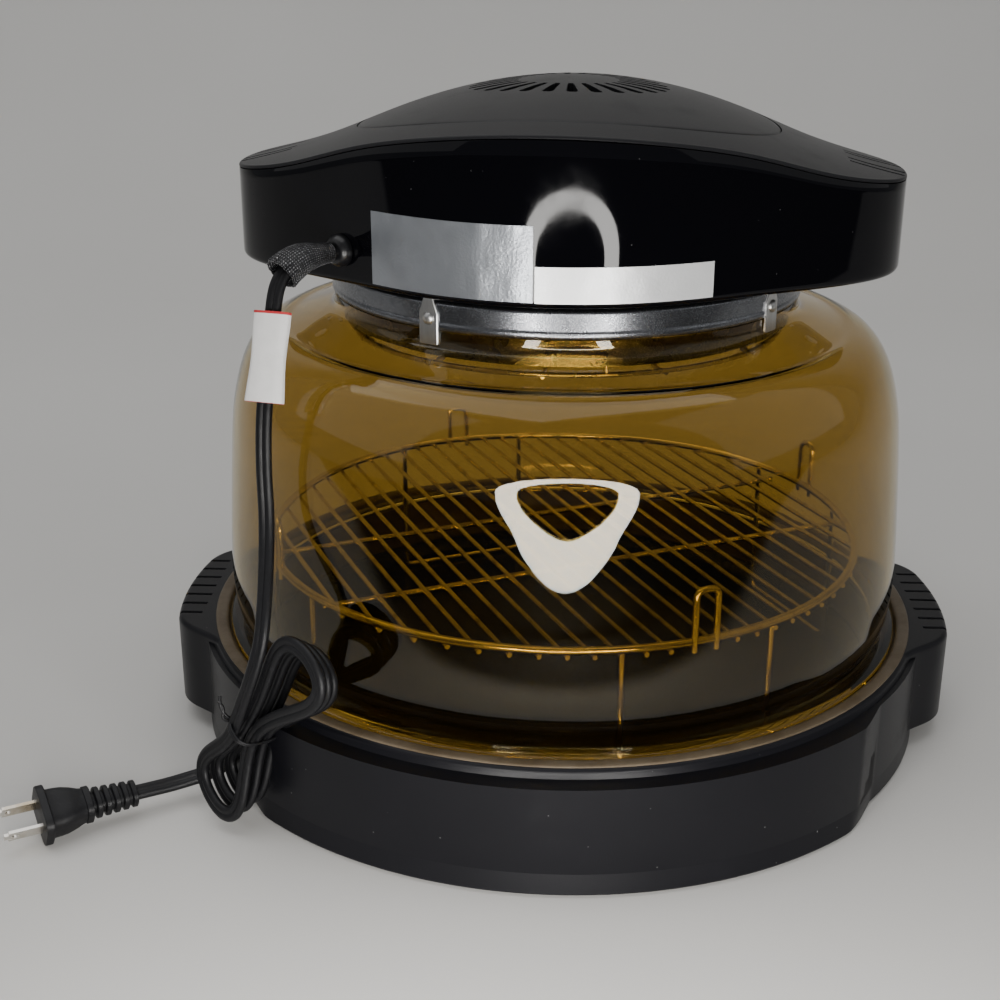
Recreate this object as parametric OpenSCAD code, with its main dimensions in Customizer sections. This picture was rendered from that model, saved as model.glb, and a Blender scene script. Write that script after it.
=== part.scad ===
// Tabletop halogen oven: a round base with two side grips holds an enamelled liner pan,
// the pan holds a wire rack and an amber dome, and the power head stands on the dome's neck.
// Millimetres. The table is z = 0, the oven's vertical axis is the Z axis, and the two
// grips of the base lie on the X axis. The power cord leaves the head towards -X -Y.

/* [Base] */
// Radius of the base where it meets the table, front and back
base_foot_r = 198; // [194:0.5:204]
// Radius of the base at its top edge
base_top_r = 186; // [185.5:0.5:189]
// Height of the base from the table to its top edge
base_h = 57; // [50:0.5:64]
// Wall of the base moulding
base_wall = 3; // [2.4:0.1:3.4]
// Gap between the base's lower edge and the table
base_lift = 1.5; // [1:0.5:3]
// Underside of the base's floor plate
base_floor_z = 6; // [5:0.5:8]
// Outer radius of the two grips
grip_r = 203.5; // [201:0.5:206]
// Height of the grips' lower edge above the table
grip_z = 11; // [8:1:16]
// Half the angle that a grip spans before it falls away
grip_half_angle = 17; // [14:0.5:19]
// Number of grip grooves on each side
groove_count = 7; // [3:1:9]
// Distance from one grip groove to the next
groove_pitch = 11.5; // [9:0.5:12]
// Width of a grip groove
groove_w = 2; // [1.2:0.1:3]
// Radius of a rubber foot
foot_r = 9; // [6:0.5:12]

/* [Liner pan] */
// Outer radius of the liner pan's rim
pan_rim_r = 184; // [182:0.5:185]
// Sheet thickness of the liner pan
pan_t = 1; // [0.8:0.1:1.4]
// Depth of the pan from its rim to its floor
pan_depth = 38; // [32:0.5:42]
// Drop from the rim to the ledge that the dome stands on
ledge_drop = 4; // [3:0.5:6]

/* [Dome] */
// Largest outer radius of the dome
dome_r = 173.6; // [172:0.2:174.4]
// Wall of the dome
dome_t = 3; // [2.4:0.1:3.4]
// Outer radius of the dome's neck
neck_r = 115.6; // [112:0.2:115.8]
// Height of the dome's neck wall
neck_h = 8; // [6:0.5:10]
// Height of the dome above the ledge of the pan
dome_h = 173.8; // [165:0.2:185]

/* [Rack] */
// Radius of the rack's rim, to the middle of its wire
rack_r = 153; // [145:0.5:158]
// Height of the rack's rim above the pan floor: the three inch side
rack_h = 78; // [60:1:80]
// Height of the short loops: the one inch side
rack_loop_h = 25; // [18:1:30]
// Wire radius of the rim
rim_wire_r = 2; // [1.5:0.1:2.5]
// Wire radius of the bars
bar_wire_r = 1.25; // [1:0.05:1.5]
// Distance from one bar to the next
bar_pitch = 11.2; // [10:0.1:14]
// Number of bars, an even count
bar_count = 26; // [20:2:26]
// Turn of the rack in the pan
rack_turn = 25; // [0:1:90]

/* [Power head] */
// Turn of the power head on the dome
head_turn = 5; // [-20:1:20]
// Half the length of the head, over its two grips
head_half = 164.8; // [158:0.2:170]
// Radius of the head's round middle
head_mid_r = 120.5; // [119.5:0.1:124]
// Height of the head from its underside to the middle of its cap
head_h = 85.5; // [80:0.5:92]
// Wall of the two head mouldings
head_wall = 2.5; // [2:0.1:3]
// Radius of the vent cap
cap_r = 102; // [90:0.5:106]
// Number of vent slots
slot_count = 26; // [16:2:30]
// Radius at which a vent slot starts
slot_in = 25; // [18:1:30]
// Radius at which a vent slot ends
slot_out = 47; // [40:1:52]

/* [Heater] */
// Outer radius of the heater can
can_r = 116; // [115.9:0.1:117]
// Height of the heater can's outer wall
can_h = 14.5; // [12:0.5:18]
// Sheet thickness of the heater can
can_t = 1; // [0.8:0.1:1.2]
// Radius of the lamp ring, to the middle of its tube
lamp_ring_r = 82; // [74:0.5:88]
// Radius of the lamp's quartz tube
lamp_r = 5; // [4:0.25:5.5]
// Radius of the hot air fan
hot_fan_r = 58; // [45:1:64]
// Radius of the motor shaft
shaft_r = 3; // [2.5:0.1:4]
// Radius of the motor
motor_r = 33; // [26:1:38]
// Height of the motor
motor_h = 36; // [28:1:40]

/* [Controls] */
// Radius of a key
key_r = 5; // [4:0.1:5.6]
// How far a key travels
key_travel = 0.8; // [0.5:0.1:1]
// Clearance round a key
key_gap = 0.4; // [0.3:0.05:0.6]

/* [Cord] */
// Mean diameter of the flat two-wire cord
cord_d = 5.6; // [5:0.1:5.8]
// Number of turns in the tied hank
hank_turns = 3; // [2:1:3]

/* [Hidden] */
$fn = 96;

black_satin = [0.07, 0.07, 0.08];
black_gloss = [0.02, 0.02, 0.025];
charcoal = [0.16, 0.16, 0.17];
amber = [0.62, 0.40, 0.08, 0.5];
enamel = [0.22, 0.17, 0.13];
nickel = [0.75, 0.72, 0.66];
zinc = [0.70, 0.70, 0.70];
grey_paint = [0.30, 0.31, 0.33];
bright = [0.82, 0.82, 0.84];

clear = 0.3;                            // running gap between loose pieces
seat = 0.2;                             // gap under a piece that rests on another

// heights, from the table up
pan_rim_z = base_h + pan_t;             // top of the pan's rim
ledge_z = pan_rim_z - ledge_drop;       // ledge that the dome stands on
pan_floor_z = pan_rim_z - pan_depth;    // cooking face of the pan
dome_z = ledge_z + seat;                // underside of the dome's foot
neck_top_z = ledge_z + dome_h;
can_z = neck_top_z + seat;              // the heater can stands on the neck
head_z = can_z + can_h;                 // underside of the head
rim_z = pan_floor_z + rack_h;           // middle of the rack's rim wire
floor_in_z = head_z + head_wall;        // inner face of the head's floor

// ---------- outlines and lofts ----------

function reversed(p) = [for (i = [len(p) - 1:-1:0]) p[i]];

// Right-hand unit normal of the stretch from a to b
function side_of(a, b) = let (d = b - a) [d[1], -d[0]] / norm(d);

// Point i of the open line p, moved sideways by t with mitred corners
function moved_point(p, i, t) =
    i == 0 ? p[0] + t * side_of(p[0], p[1]) :
    i == len(p) - 1 ? p[i] + t * side_of(p[i - 1], p[i]) :
    let (m = side_of(p[i - 1], p[i]) + side_of(p[i], p[i + 1])) p[i] + m * (2 * t / (m * m));

// Closed outline of a sheet of thickness t whose one face follows the open line p
function sheet(p, t) = concat(p, reversed([for (i = [0:len(p) - 1]) moved_point(p, i, t)]));

function arc(cx, cy, r, a0, a1, n) =
    [for (i = [0:n]) let (a = a0 + (a1 - a0) * i / n) [cx + r * cos(a), cy + r * sin(a)]];

// Triangles of a skin over m rings of n points; loop joins the last ring to the first
function skin(m, n, loop = false) = [
    for (i = [0:m - (loop ? 1 : 2)], j = [0:n - 1])
        let (a = i * n + j, b = i * n + (j + 1) % n,
             c = ((i + 1) % m) * n + (j + 1) % n, d = ((i + 1) % m) * n + j)
        each [[a, b, c], [a, c, d]]];

// Flat fans that close the first and the last ring
function first_cap(n) = [for (j = [1:n - 2]) [0, j + 1, j]];
function last_cap(m, n) = let (o = (m - 1) * n) [for (j = [1:n - 2]) [o, o + j, o + j + 1]];

module ring_skin(rings) {
    polyhedron([for (r = rings) each r], skin(len(rings), len(rings[0]), true), 10);
}

module capped_skin(rings) {
    m = len(rings);
    n = len(rings[0]);
    polyhedron([for (r = rings) each r], concat(skin(m, n), first_cap(n), last_cap(m, n)), 10);
}

module band(r0, r1, a0, a1, z0, z1) {
    translate([0, 0, z0]) rotate([0, 0, a0]) rotate_extrude(angle = a1 - a0)
        translate([r0, 0]) square([r1 - r0, z1 - z0]);
}

module rod(a, b, r, sides = 24) {
    d = b - a;
    translate(a) rotate([0, acos(d[2] / norm(d)), atan2(d[1], d[0])])
        cylinder(h = norm(d), r = r, $fn = sides);
}

// ---------- base ----------

base_slope = (base_foot_r - base_top_r) / base_h;
core_foot_r = base_top_r + 4;           // the wall behind the grips stands nearly upright
apron_start = 33;                       // angle from the X axis where the apron starts
apron_full = 50;                        // and where it stands out in full

function ease(t) = let (s = min(1, max(0, t))) s * s * (3 - 2 * s);
function apron_edge(a, inset) =
    core_foot_r - 2 - inset + (base_foot_r + 3 - core_foot_r)
    * ease((a - apron_start) / (apron_full - apron_start));
function grip_edge(a) =
    base_top_r - 3 + (grip_r + 3.5 - base_top_r) / (1 + pow(abs(a) / grip_half_angle, 8));

module apron_plan(inset) {
    edge = [for (a = [apron_start - 3:2.5:apron_full + 5]) apron_edge(a, inset) * [cos(a), sin(a)]];
    far = (base_foot_r + 40) * [[cos(62), sin(62)], [0, 1.4], [-cos(62), sin(62)]];
    mirrored = reversed([for (p = edge) [-p[0], p[1]]]);
    for (s = [1, -1]) scale([1, s]) polygon(concat([[0, 0]], edge, far, mirrored));
}

module grip_plan(inset) {
    edge = [for (a = [-28:2:28]) (grip_edge(a) - inset) * [cos(a), sin(a)]];
    for (s = [1, -1]) scale([s, 1]) polygon(concat([[120, 0]], edge));
}

// The outer form of the base, or with an inset the form of its hollow
module base_form(inset, z0) {
    rotate_extrude() polygon([[0, z0], [core_foot_r - inset, z0],
        [base_top_r - inset, base_h - inset], [0, base_h - inset]]);
    intersection() {
        rotate_extrude() polygon([[100, z0], [base_foot_r - base_slope * z0 - inset, z0],
            [base_top_r + base_slope * inset - inset, base_h - inset], [100, base_h - inset]]);
        translate([0, 0, z0 - 1]) linear_extrude(base_h) apron_plan(inset);
    }
    intersection() {
        rotate_extrude() polygon([[100, max(z0, grip_z)], [grip_r + 1.5 - inset, max(z0, grip_z)],
            [grip_r - inset, base_h - 2 - inset], [grip_r - 2 - inset, base_h - inset], [100,
                base_h - inset]]);
        translate([0, 0, z0 - 1]) linear_extrude(base_h + 2) grip_plan(inset);
    }
}

module base_shell() {
    pan_hole_r = pan_rim_r - 2.5;         // the rim of the pan rests on the rest of the edge
    floor_r = core_foot_r - base_wall - 0.5;
    color(black_satin) difference() {
        union() {
            difference() {
                base_form(0, base_lift);
                translate([0, 0, -5]) base_form(base_wall, 0);
                base_form(base_wall, 0);
            }
            // inner wall that keeps fingers off the pan, and the floor plate
            rotate_extrude() polygon(concat(
                [[0, base_floor_z], [floor_r, base_floor_z], [base_top_r - base_wall / 2,
                    base_h - base_wall]],
                [[pan_hole_r + 1.5, base_h - base_wall], [floor_r - base_wall, base_floor_z + base_wall],
                 [0, base_floor_z + base_wall]]));
        }
        translate([0, 0, base_floor_z + base_wall]) cylinder(h = base_h, r = pan_hole_r);
        for (s = [1, -1], i = [0:groove_count - 1])
            translate([s * (grip_r - 5), (i - (groove_count - 1) / 2) * groove_pitch, base_h - 0.5])
                cube([20, groove_w, 3], center = true);
    }
}

module base_feet() {
    color([0.05, 0.05, 0.05]) for (a = [45:90:315]) rotate([0, 0, a])
        translate([base_top_r - 36, 0, 0]) cylinder(h = base_floor_z, r1 = foot_r - 1, r2 = foot_r);
}

// ---------- liner pan ----------

pan_ledge_r = dome_r + 3;               // where the rim steps down to the ledge
pan_wall_r = dome_r - 4.6;              // inner face of the pan's wall under the ledge
pan_corner = 7;                         // radius between the pan's wall and its floor

module liner_pan() {
    line = concat(
        [[pan_rim_r, pan_rim_z], [pan_ledge_r + 0.6, pan_rim_z], [pan_ledge_r, ledge_z],
         [pan_wall_r, ledge_z]],
        arc(pan_wall_r - 1.5 - pan_corner, pan_floor_z + pan_corner, pan_corner, 0, -90, 6),
        [[0, pan_floor_z]]);
    color(enamel) rotate_extrude() polygon(sheet(line, -pan_t));
}

// ---------- rack ----------

bar_z = rim_z - rim_wire_r - bar_wire_r + 0.5;      // the bars are welded under the rim
cross_z = bar_z - 2 * bar_wire_r + 0.4;             // and the cross wires under the bars
cross_wire_r = 1.5;
leg_wire_r = 1.6;
cross_at = [-45, 27];                   // places of the two cross wires
leg_half_angle = 14.5;                  // half the angle between the two posts of a long leg
leg_ring_r = rack_r - 1;
loop_half_w = 5.5;

module rack_grid() {
    color(nickel) rotate([0, 0, rack_turn]) {
        translate([0, 0, rim_z]) rotate_extrude() translate([rack_r, 0]) circle(rim_wire_r, $fn = 24);
        for (i = [0:bar_count - 1]) {
            x = (i - (bar_count - 1) / 2) * bar_pitch;
            half = sqrt(pow(rack_r, 2) - x * x) + 1.5;
            rod([x, -half, bar_z], [x, half, bar_z], bar_wire_r);
        }
        for (y = cross_at) {
            half = sqrt(pow(rack_r, 2) - y * y) - 2;
            rod([-half, y, cross_z], [half, y, cross_z], cross_wire_r);
        }
    }
}

// A U of wire: two posts at half_w either side and a bar that joins them at z_end
module wire_u(half_w, z_start, z_end, r) {
    for (s = [1, -1]) {
        rod([0, s * half_w, z_start], [0, s * half_w, z_end], r);
        translate([0, s * half_w, z_end]) sphere(r, $fn = 24);
    }
    rod([0, -half_w, z_end], [0, half_w, z_end], r);
}

module rack_long_legs() {
    color(nickel) for (a = [0:90:270]) rotate([0, 0, rack_turn + a])
        translate([leg_ring_r * cos(leg_half_angle), 0, 0])
            wire_u(leg_ring_r * sin(leg_half_angle), rim_z - 1, pan_floor_z + leg_wire_r + seat,
                leg_wire_r);
}

module rack_short_loops() {
    color(nickel) for (a = [0:90:270]) rotate([0, 0, rack_turn + a])
        translate([rack_r + 0.6, 0, 0])
            wire_u(loop_half_w, bar_z - 2, rim_z + rack_loop_h, leg_wire_r);
}

// ---------- dome ----------

neck_base_z = neck_top_z - neck_h;
step_z = neck_base_z - 7.6;             // small step on the shoulder
step_r = neck_r + 24.5;
flange_r = pan_ledge_r - 0.7;           // foot of the dome, inside the pan's rim
shoulder_h = step_z - dome_z;           // the wall's heights follow this

module dome_shell() {
    function at(k, dr) = [dome_r + dr, dome_z + k * shoulder_h];
    line = concat(
        [[dome_r - 5.2, dome_z + dome_t], [dome_r - 5.4, dome_z + dome_t + 1.6], at(0.055, -3.4), at(0.085,
            -1.6),
         at(0.15, -0.3), at(0.23, 0), at(0.33, -0.5), at(0.47, -1.8), at(0.62, -3.4), at(0.73, -5),
         at(0.815, -7.6), at(0.89, -11.4), at(0.945, -16.4), at(0.985, -23)],
        [[step_r + 1.6, step_z + 1.4], [step_r, step_z],
         [neck_r + 9, neck_base_z - 2.6], [neck_r + 1.6, neck_base_z], [neck_r, neck_base_z + 1.6],
         [neck_r, neck_top_z]]);
    color(amber) rotate_extrude() {
        polygon(sheet(line, -dome_t));
        polygon([[dome_r - 5.2 - dome_t, dome_z], [flange_r, dome_z], [flange_r, dome_z + dome_t],
            [dome_r - 5.2 - dome_t, dome_z + dome_t + 0.4]]);
    }
}

// ---------- power head: outer form ----------

// Radius of the head's outline at angle a: a round middle that runs out into two grips
function head_edge(a) =
    let (c = max(0.001, abs(cos(a))), wing = head_mid_r + (head_half - head_mid_r + 1.7) * pow(c, 8))
    pow(pow(wing, -30) + pow(head_half / c, -30), -1 / 30);

// How far the top lies below its middle, along the head and across it
function fall_along(u) =
    let (dome = 0.0022 * u * u + 0.0001, wing = 8 + 0.205 * abs(u)) pow(pow(dome, -8) + pow(wing, -8),
        -1 / 8);
function fall_across(v) = 0.00087 * v * v;
function top_z(p) = head_z + head_h - fall_along(p[0]) - fall_across(p[1]);

// Height of the joint between the satin cover and the glossy housing
function joint_z(a) = let (p = head_edge(a) * [cos(a), sin(a)]) top_z(p) - 2 - 3.5 * pow(abs(sin(a)), 2);

head_sides = 96;
function head_angles() = [for (i = [0:head_sides - 1]) 360 * i / head_sides];
function head_ring(inset, zf) = [for (a = head_angles()) let (r = head_edge(a) - inset) [r * cos(a),
    r * sin(a), zf(a)]];
function round_ring(r, zf) = [for (a = head_angles()) [r * cos(a), r * sin(a), zf(a)]];

floor_hole_r = 70;
pillar_at = [[138, 12], [138, -12], [-138, 12], [-138, -12]];
pillar_r = 4.5;
screw_r = 1.7;

module at_head() { rotate([0, 0, -head_turn]) children(); }

module key_axis(k) {
    at_head() translate([0, 0, key_z(k)]) rotate([0, 0, key_angle(k)]) rotate([0, 90, 0]) children();
}

module lower_housing() {
    zl = head_z;
    rings = [
        head_ring(1.5, function (a) zl),
        head_ring(0.3, function (a) zl + 0.6),
        head_ring(0, function (a) zl + 2),
        head_ring(0, function (a) joint_z(a)),
        head_ring(head_wall, function (a) joint_z(a)),
        head_ring(head_wall, function (a) floor_in_z),
        round_ring(floor_hole_r, function (a) floor_in_z),
        round_ring(floor_hole_r, function (a) zl)];
    color(black_gloss) difference() {
        at_head() ring_skin(rings);
        at_head() for (p = pillar_at) translate([p[0], p[1], zl - 1]) cylinder(h = 8, r = screw_r + 0.2,
            $fn = 24);
        at_head() band(head_mid_r - 8, head_mid_r + 6, 90 - window_half, 90 + window_half, window_z0,
            window_z1);
        for (k = [1:8]) key_axis(k) translate([0, 0, head_mid_r - 8]) cylinder(h = 16, r = key_r + key_gap,
            $fn = 32);
        along_exit() translate([0, 0, -20]) cylinder(h = 30, r = bushing_neck_r + 0.1, $fn = 32);
    }
}

module upper_cover() {
    lip_in = cap_r - 4;
    function flat(p) = [p[0], p[1]];
    function cover_ring(f, drop) = [for (a = head_angles())
        let (r = (cap_r + clear) * (1 - f) + (head_edge(a) - 0.05) * f, p = r * [cos(a), sin(a)])
        [p[0], p[1], top_z(p) - drop]];
    function under_ring(f, drop) = [for (a = head_angles())
        let (r = (cap_r - 1) * (1 - f) + (head_edge(a) - head_wall) * f, p = r * [cos(a), sin(a)])
        [p[0], p[1], top_z(p) - drop]];
    function hole_ring(r, drop) = [for (a = head_angles()) let (p = r * [cos(a), sin(a)]) [p[0], p[1],
        top_z(p) - drop]];
    rings = [
        hole_ring(lip_in, 2 * head_wall + 0.2), hole_ring(lip_in, head_wall + seat),
        hole_ring(cap_r + clear, head_wall + seat), hole_ring(cap_r + clear, 0),
        cover_ring(0.25, 0), cover_ring(0.5, 0), cover_ring(0.75, 0), cover_ring(0.9, 0.2),
            cover_ring(0.97, 0.9),
        [for (a = head_angles()) let (r = head_edge(a)) [r * cos(a), r * sin(a), joint_z(a) + 0.6]],
        [for (a = head_angles()) let (r = head_edge(a)) [r * cos(a), r * sin(a), joint_z(a) + 0.05]],
        [for (a = head_angles()) let (r = head_edge(a) - head_wall) [r * cos(a), r * sin(a),
            joint_z(a) + 0.05]],
        under_ring(0.9, head_wall + 2.4), under_ring(0.5, head_wall + 0.6)];
    color(charcoal) at_head() difference() {
        ring_skin(reversed(rings));
        for (s = [1, -1], v = [-15, -5, 5, 15]) scale([s, 1, 1]) translate([0, v + 0.8, 0]) rotate([90, 0,
            0])
            linear_extrude(1.6) polygon([[head_half - 34, head_z + 60], [head_half - 31,
                top_z([head_half - 31, v]) + 0.2],
                [head_half - 27, top_z([head_half - 27, v]) - 1.1], [head_half + 5, top_z([head_half,
                    v]) - 1.9],
                [head_half + 5, head_z + 60]]);
    }
}

// Pillars between the housing's floor and the cover, in the two grips
module cover_pillars() {
    color(zinc) at_head() for (p = pillar_at) translate([p[0], p[1], floor_in_z]) difference() {
        cylinder(h = top_z(p) - floor_in_z - 4.6, r = pillar_r);
        translate([0, 0, -1]) cylinder(h = 16, r = screw_r);
    }
}

module vent_cap() {
    function disc_ring(r, drop) = [for (a = [0:5:355]) let (p = r * [cos(a), sin(a)]) [p[0], p[1],
        top_z(p) - drop]];
    outer = [for (r = [1, 14, 30, 45, 60, 75, 90, cap_r - 1]) disc_ring(r, 0)];
    inner = [for (r = [cap_r, 75, 45, 1]) disc_ring(r, head_wall)];
    color(charcoal) at_head() difference() {
        capped_skin(reversed(concat(outer, [disc_ring(cap_r, 0.6)], inner)));
        for (i = [0:slot_count - 1]) rotate([0, 0, 360 * i / slot_count]) translate([0, 0,
            head_z + head_h - 20])
            linear_extrude(40) polygon([[slot_in, -0.8], [slot_out - 2, -2], [slot_out, -1], [slot_out, 1],
                [slot_out - 2, 2], [slot_in, 0.8]]);
    }
}

// ---------- power head: heater ----------

skirt_r = neck_r - dome_t - 2.4;        // inner skirt of the can, inside the dome's neck
skirt_h = 15;
can_hole_r = 32;
lamp_z = can_z - 6.5;
cap_angle = 16;                         // half the angle between the two ends of the lamp
lamp_end_z = lamp_z + lamp_r + 0.1;
end_cap_r = 7;
reflector_z = head_z - 6.5;
probe_at = [96 * cos(150), 96 * sin(150)];
probe_r = 2.5;

module lamp_end_at() {
    at_head() for (s = [1, -1]) rotate([0, 0, s * cap_angle]) translate([lamp_ring_r, 0, 0]) children();
}

module heater_can() {
    line = [[can_hole_r, head_z], [can_r, head_z], [can_r, can_z], [skirt_r, can_z], [skirt_r,
        can_z - skirt_h]];
    color(grey_paint) at_head() difference() {
        rotate_extrude() polygon(sheet(line, can_t));
        translate([probe_at[0], probe_at[1], head_z - 4]) cylinder(h = 8, r = probe_r + 0.1);
    }
}

module insulation_ring() {
    color([0.85, 0.83, 0.78]) difference() {
        at_head() translate([0, 0, reflector_z + 0.3]) difference() {
            cylinder(h = head_z - can_t - reflector_z - 0.3, r = skirt_r - 6);
            translate([0, 0, -1]) cylinder(h = 20, r = can_hole_r - 6);
            translate([probe_at[0], probe_at[1], -1]) cylinder(h = 20, r = probe_r + 0.5);
        }
        lamp_end_at() translate([0, 0, lamp_z]) cylinder(h = 40, r = end_cap_r + clear);
    }
}

module reflector() {
    line = [[can_hole_r - 8, reflector_z], [hot_fan_r + 4, reflector_z], [skirt_r - 10, reflector_z - 11],
        [skirt_r - 3.6, reflector_z - 12.5]];
    color(bright) difference() {
        at_head() rotate_extrude() polygon(sheet(line, 0.6));
        lamp_end_at() translate([0, 0, lamp_z]) cylinder(h = 40, r = end_cap_r + clear);
        at_head() translate([probe_at[0], probe_at[1], lamp_z]) cylinder(h = 20, r = probe_r + 0.5);
    }
}

module lamp_ring() {
    color([0.95, 0.85, 0.7]) {
        at_head() translate([0, 0, lamp_z]) rotate([0, 0,
            cap_angle]) rotate_extrude(angle = 360 - 2 * cap_angle)
            translate([lamp_ring_r, 0]) circle(lamp_r, $fn = 24);
        lamp_end_at() translate([0, 0, lamp_z]) {
            translate([0, 0, 0.6 - lamp_r]) cylinder(h = lamp_end_z - lamp_z + lamp_r - 0.6,
                r = lamp_r - 0.6, $fn = 24);
        }
    }
}

module lamp_end_caps() {
    color([0.92, 0.9, 0.85]) lamp_end_at() translate([0, 0, lamp_end_z])
        cylinder(h = head_z - can_t - lamp_end_z, r = end_cap_r);
}

module lamp_clips() {
    slope = 11 / (skirt_r - 10 - hot_fan_r - 4);            // of the reflector's cone
    stem_z = reflector_z - 0.9 - slope * (lamp_ring_r - hot_fan_r - 4);
    color(zinc) at_head() for (a = [90, 180, 270]) rotate([0, 0, a]) translate([lamp_ring_r, 0, 0]) {
        translate([0, 2.5, lamp_z]) rotate([90, 0, 0]) difference() {
            cylinder(h = 5, r = lamp_r + 1.1);
            translate([0, 0, -1]) cylinder(h = 7, r = lamp_r + 0.15);
        }
        translate([-2, -2.5, lamp_z + lamp_r + 0.6]) cube([3, 5, stem_z - lamp_z - lamp_r - 1.3]);
    }
}

module guard_grille() {
    wire = 1.1;
    rim = skirt_r - can_t - wire - 0.1;
    z = can_z - skirt_h - 4;
    color(nickel) at_head() {
        for (r = [16, 39, 62, 85, rim]) translate([0, 0, z]) rotate_extrude() translate([r,
            0]) circle(wire, $fn = 16);
        for (a = [0:30:150]) for (s = [1, -1]) rotate([0, 0, a]) rod([s * 15.5, 0, z - 1.2], [s * rim, 0,
            z - 1.2], wire - 0.2, 16);
        for (a = [15:90:285]) rotate([0, 0, a]) rod([rim, 0, z], [rim, 0, can_z - skirt_h + 5], wire - 0.2,
            16);
    }
}

// ---------- power head: locating clips ----------

clip_angles = [-116, -31, 64, 149];
clip_t = 1.2;
clip_w = 10;
clip_in_r = can_r + 0.1;
clip_z0 = neck_base_z + 1.6;
rivet_z = head_z - 9;
rivet_r = 3.4;

module locating_clips() {
    h = head_z - clip_z0;
    color(zinc) at_head() for (a = clip_angles) rotate([0, 0, a]) translate([clip_in_r, 0, clip_z0])
        rotate([90, 0, 90]) linear_extrude(clip_t) difference() {
            polygon([[-clip_w / 2, 0], [clip_w / 2, 0], [clip_w / 2, h - 6], [2.8, h], [-2.8, h],
                [-clip_w / 2, h - 6]]);
            translate([0, rivet_z - clip_z0]) circle(1.7, $fn = 24);
        }
}

module clip_rivets() {
    color(zinc) at_head() for (a = clip_angles) rotate([0, 0, a]) translate([clip_in_r, 0,
        rivet_z]) rotate([0, 90, 0]) {
        cylinder(h = clip_t + 0.1, r = 1.6, $fn = 24);
        translate([0, 0, clip_t + 0.05]) rotate_extrude() polygon(concat([[0, 0]], arc(0, -1.2, rivet_r,
            21, 90, 5)));
    }
}

// ---------- power head: motor and fans ----------

bracket_t = 2;
bracket_r = 80;
motor_z = floor_in_z + bracket_t;
bush_r = 6;
bush_h = 5;
shaft_gap = 0.04;
shaft_z0 = can_z - 14;
fan_z = can_z - 12;
cooling_z = motor_z + motor_h + 6;
bracket_screw_r = 75;

module motor_bracket() {
    color(zinc) at_head() translate([0, 0, floor_in_z]) difference() {
        cylinder(h = bracket_t, r = bracket_r);
        translate([0, 0, -1]) cylinder(h = bracket_t + 2, r = 12);
        for (a = [30:60:330]) rotate([0, 0, a]) translate([52, 0, -1]) cylinder(h = bracket_t + 2, r = 10,
            $fn = 32);
        for (a = [0:120:240]) rotate([0, 0, a]) translate([bracket_screw_r, 0, -1])
            cylinder(h = bracket_t + 2, r = screw_r + 0.2, $fn = 24);
    }
}

module motor_can() {
    color(zinc) at_head() translate([0, 0, motor_z]) difference() {
        cylinder(h = motor_h, r = motor_r);
        translate([0, 0, -1]) cylinder(h = motor_h + 2, r = bush_r);
    }
}

module motor_bushes() {
    color([0.72, 0.55, 0.3]) at_head() for (z = [motor_z, motor_z + motor_h - bush_h]) translate([0, 0,
        z]) difference() {
        cylinder(h = bush_h, r = bush_r);
        translate([0, 0, -1]) cylinder(h = bush_h + 2, r = shaft_r + shaft_gap);
    }
}

module motor_shaft() {
    color(zinc) translate([0, 0, shaft_z0]) cylinder(h = cooling_z + 12 - shaft_z0, r = shaft_r);
}

// A fan of flat blades on a hub that is pressed on the shaft
module bladed_fan(z, r, hub_r, blades, blade_h, tilt, disc) {
    translate([0, 0, z]) difference() {
        union() {
            cylinder(h = blade_h, r = hub_r);
            if (disc) translate([0, 0, blade_h - 1]) cylinder(h = 1, r = r);
            intersection() {
                for (i = [0:blades - 1]) rotate([0, 0, 360 * i / blades]) translate([hub_r - 2, 0,
                    blade_h / 2])
                    rotate([tilt, 0, 0]) translate([0, -0.6, -blade_h]) cube([r, 1.2, 2 * blade_h]);
                cylinder(h = blade_h, r = r);
            }
        }
        translate([0, 0, -1]) cylinder(h = blade_h + 2, r = shaft_r);
    }
}

module hot_fan() { color(zinc) bladed_fan(fan_z, hot_fan_r, 9, 6, 12, 0, true); }
module cooling_fan() { color([0.2, 0.2, 0.22]) bladed_fan(cooling_z, 46, 8, 7, 11, 38, false); }

module temperature_probe() {
    color(bright) at_head() translate([probe_at[0], probe_at[1], 0]) {
        translate([0, 0, can_z - 10]) cylinder(h = head_z - can_z + 10, r = probe_r, $fn = 24);
        translate([0, 0, head_z - can_t - 1.2]) cylinder(h = 1.1, r = probe_r + 0.3, $fn = 24);
    }
}

// ---------- power head: electrics and controls ----------

window_half = 9;
window_z0 = head_z + 26;
window_z1 = head_z + 48;
fascia_half = 32;
fascia_z0 = head_z + 10;
fascia_z1 = head_z + 55;
fascia_in = head_mid_r + 0.5;
fascia_t = 1.5;
board_r = head_mid_r - 16;
key_out = fascia_in + fascia_t + 1.2;
key_back = head_mid_r - head_wall - 3;

// Keys 1 to 4 lie on one side of the window and 5 to 8 on the other, in two rows
function key_angle(k) = let (i = floor((k - 1) / 2)) 90 + [-25, -15, 15, 25][i];
function key_z(k) = head_z + ((k % 2 == 1) ? 44 : 26);

module power_board() {
    color([0.1, 0.35, 0.18]) at_head() translate([-126, -17, floor_in_z]) {
        translate([0, 0, 3]) cube([34, 34, 1.6]);
        for (x = [3, 31], y = [3, 31]) translate([x, y, 0]) cylinder(h = 3.5, r = 2, $fn = 24);
        translate([4, 4, 4]) cube([12, 14, 13]);
        translate([20, 6, 4]) cube([8, 20, 18]);
    }
}

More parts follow.
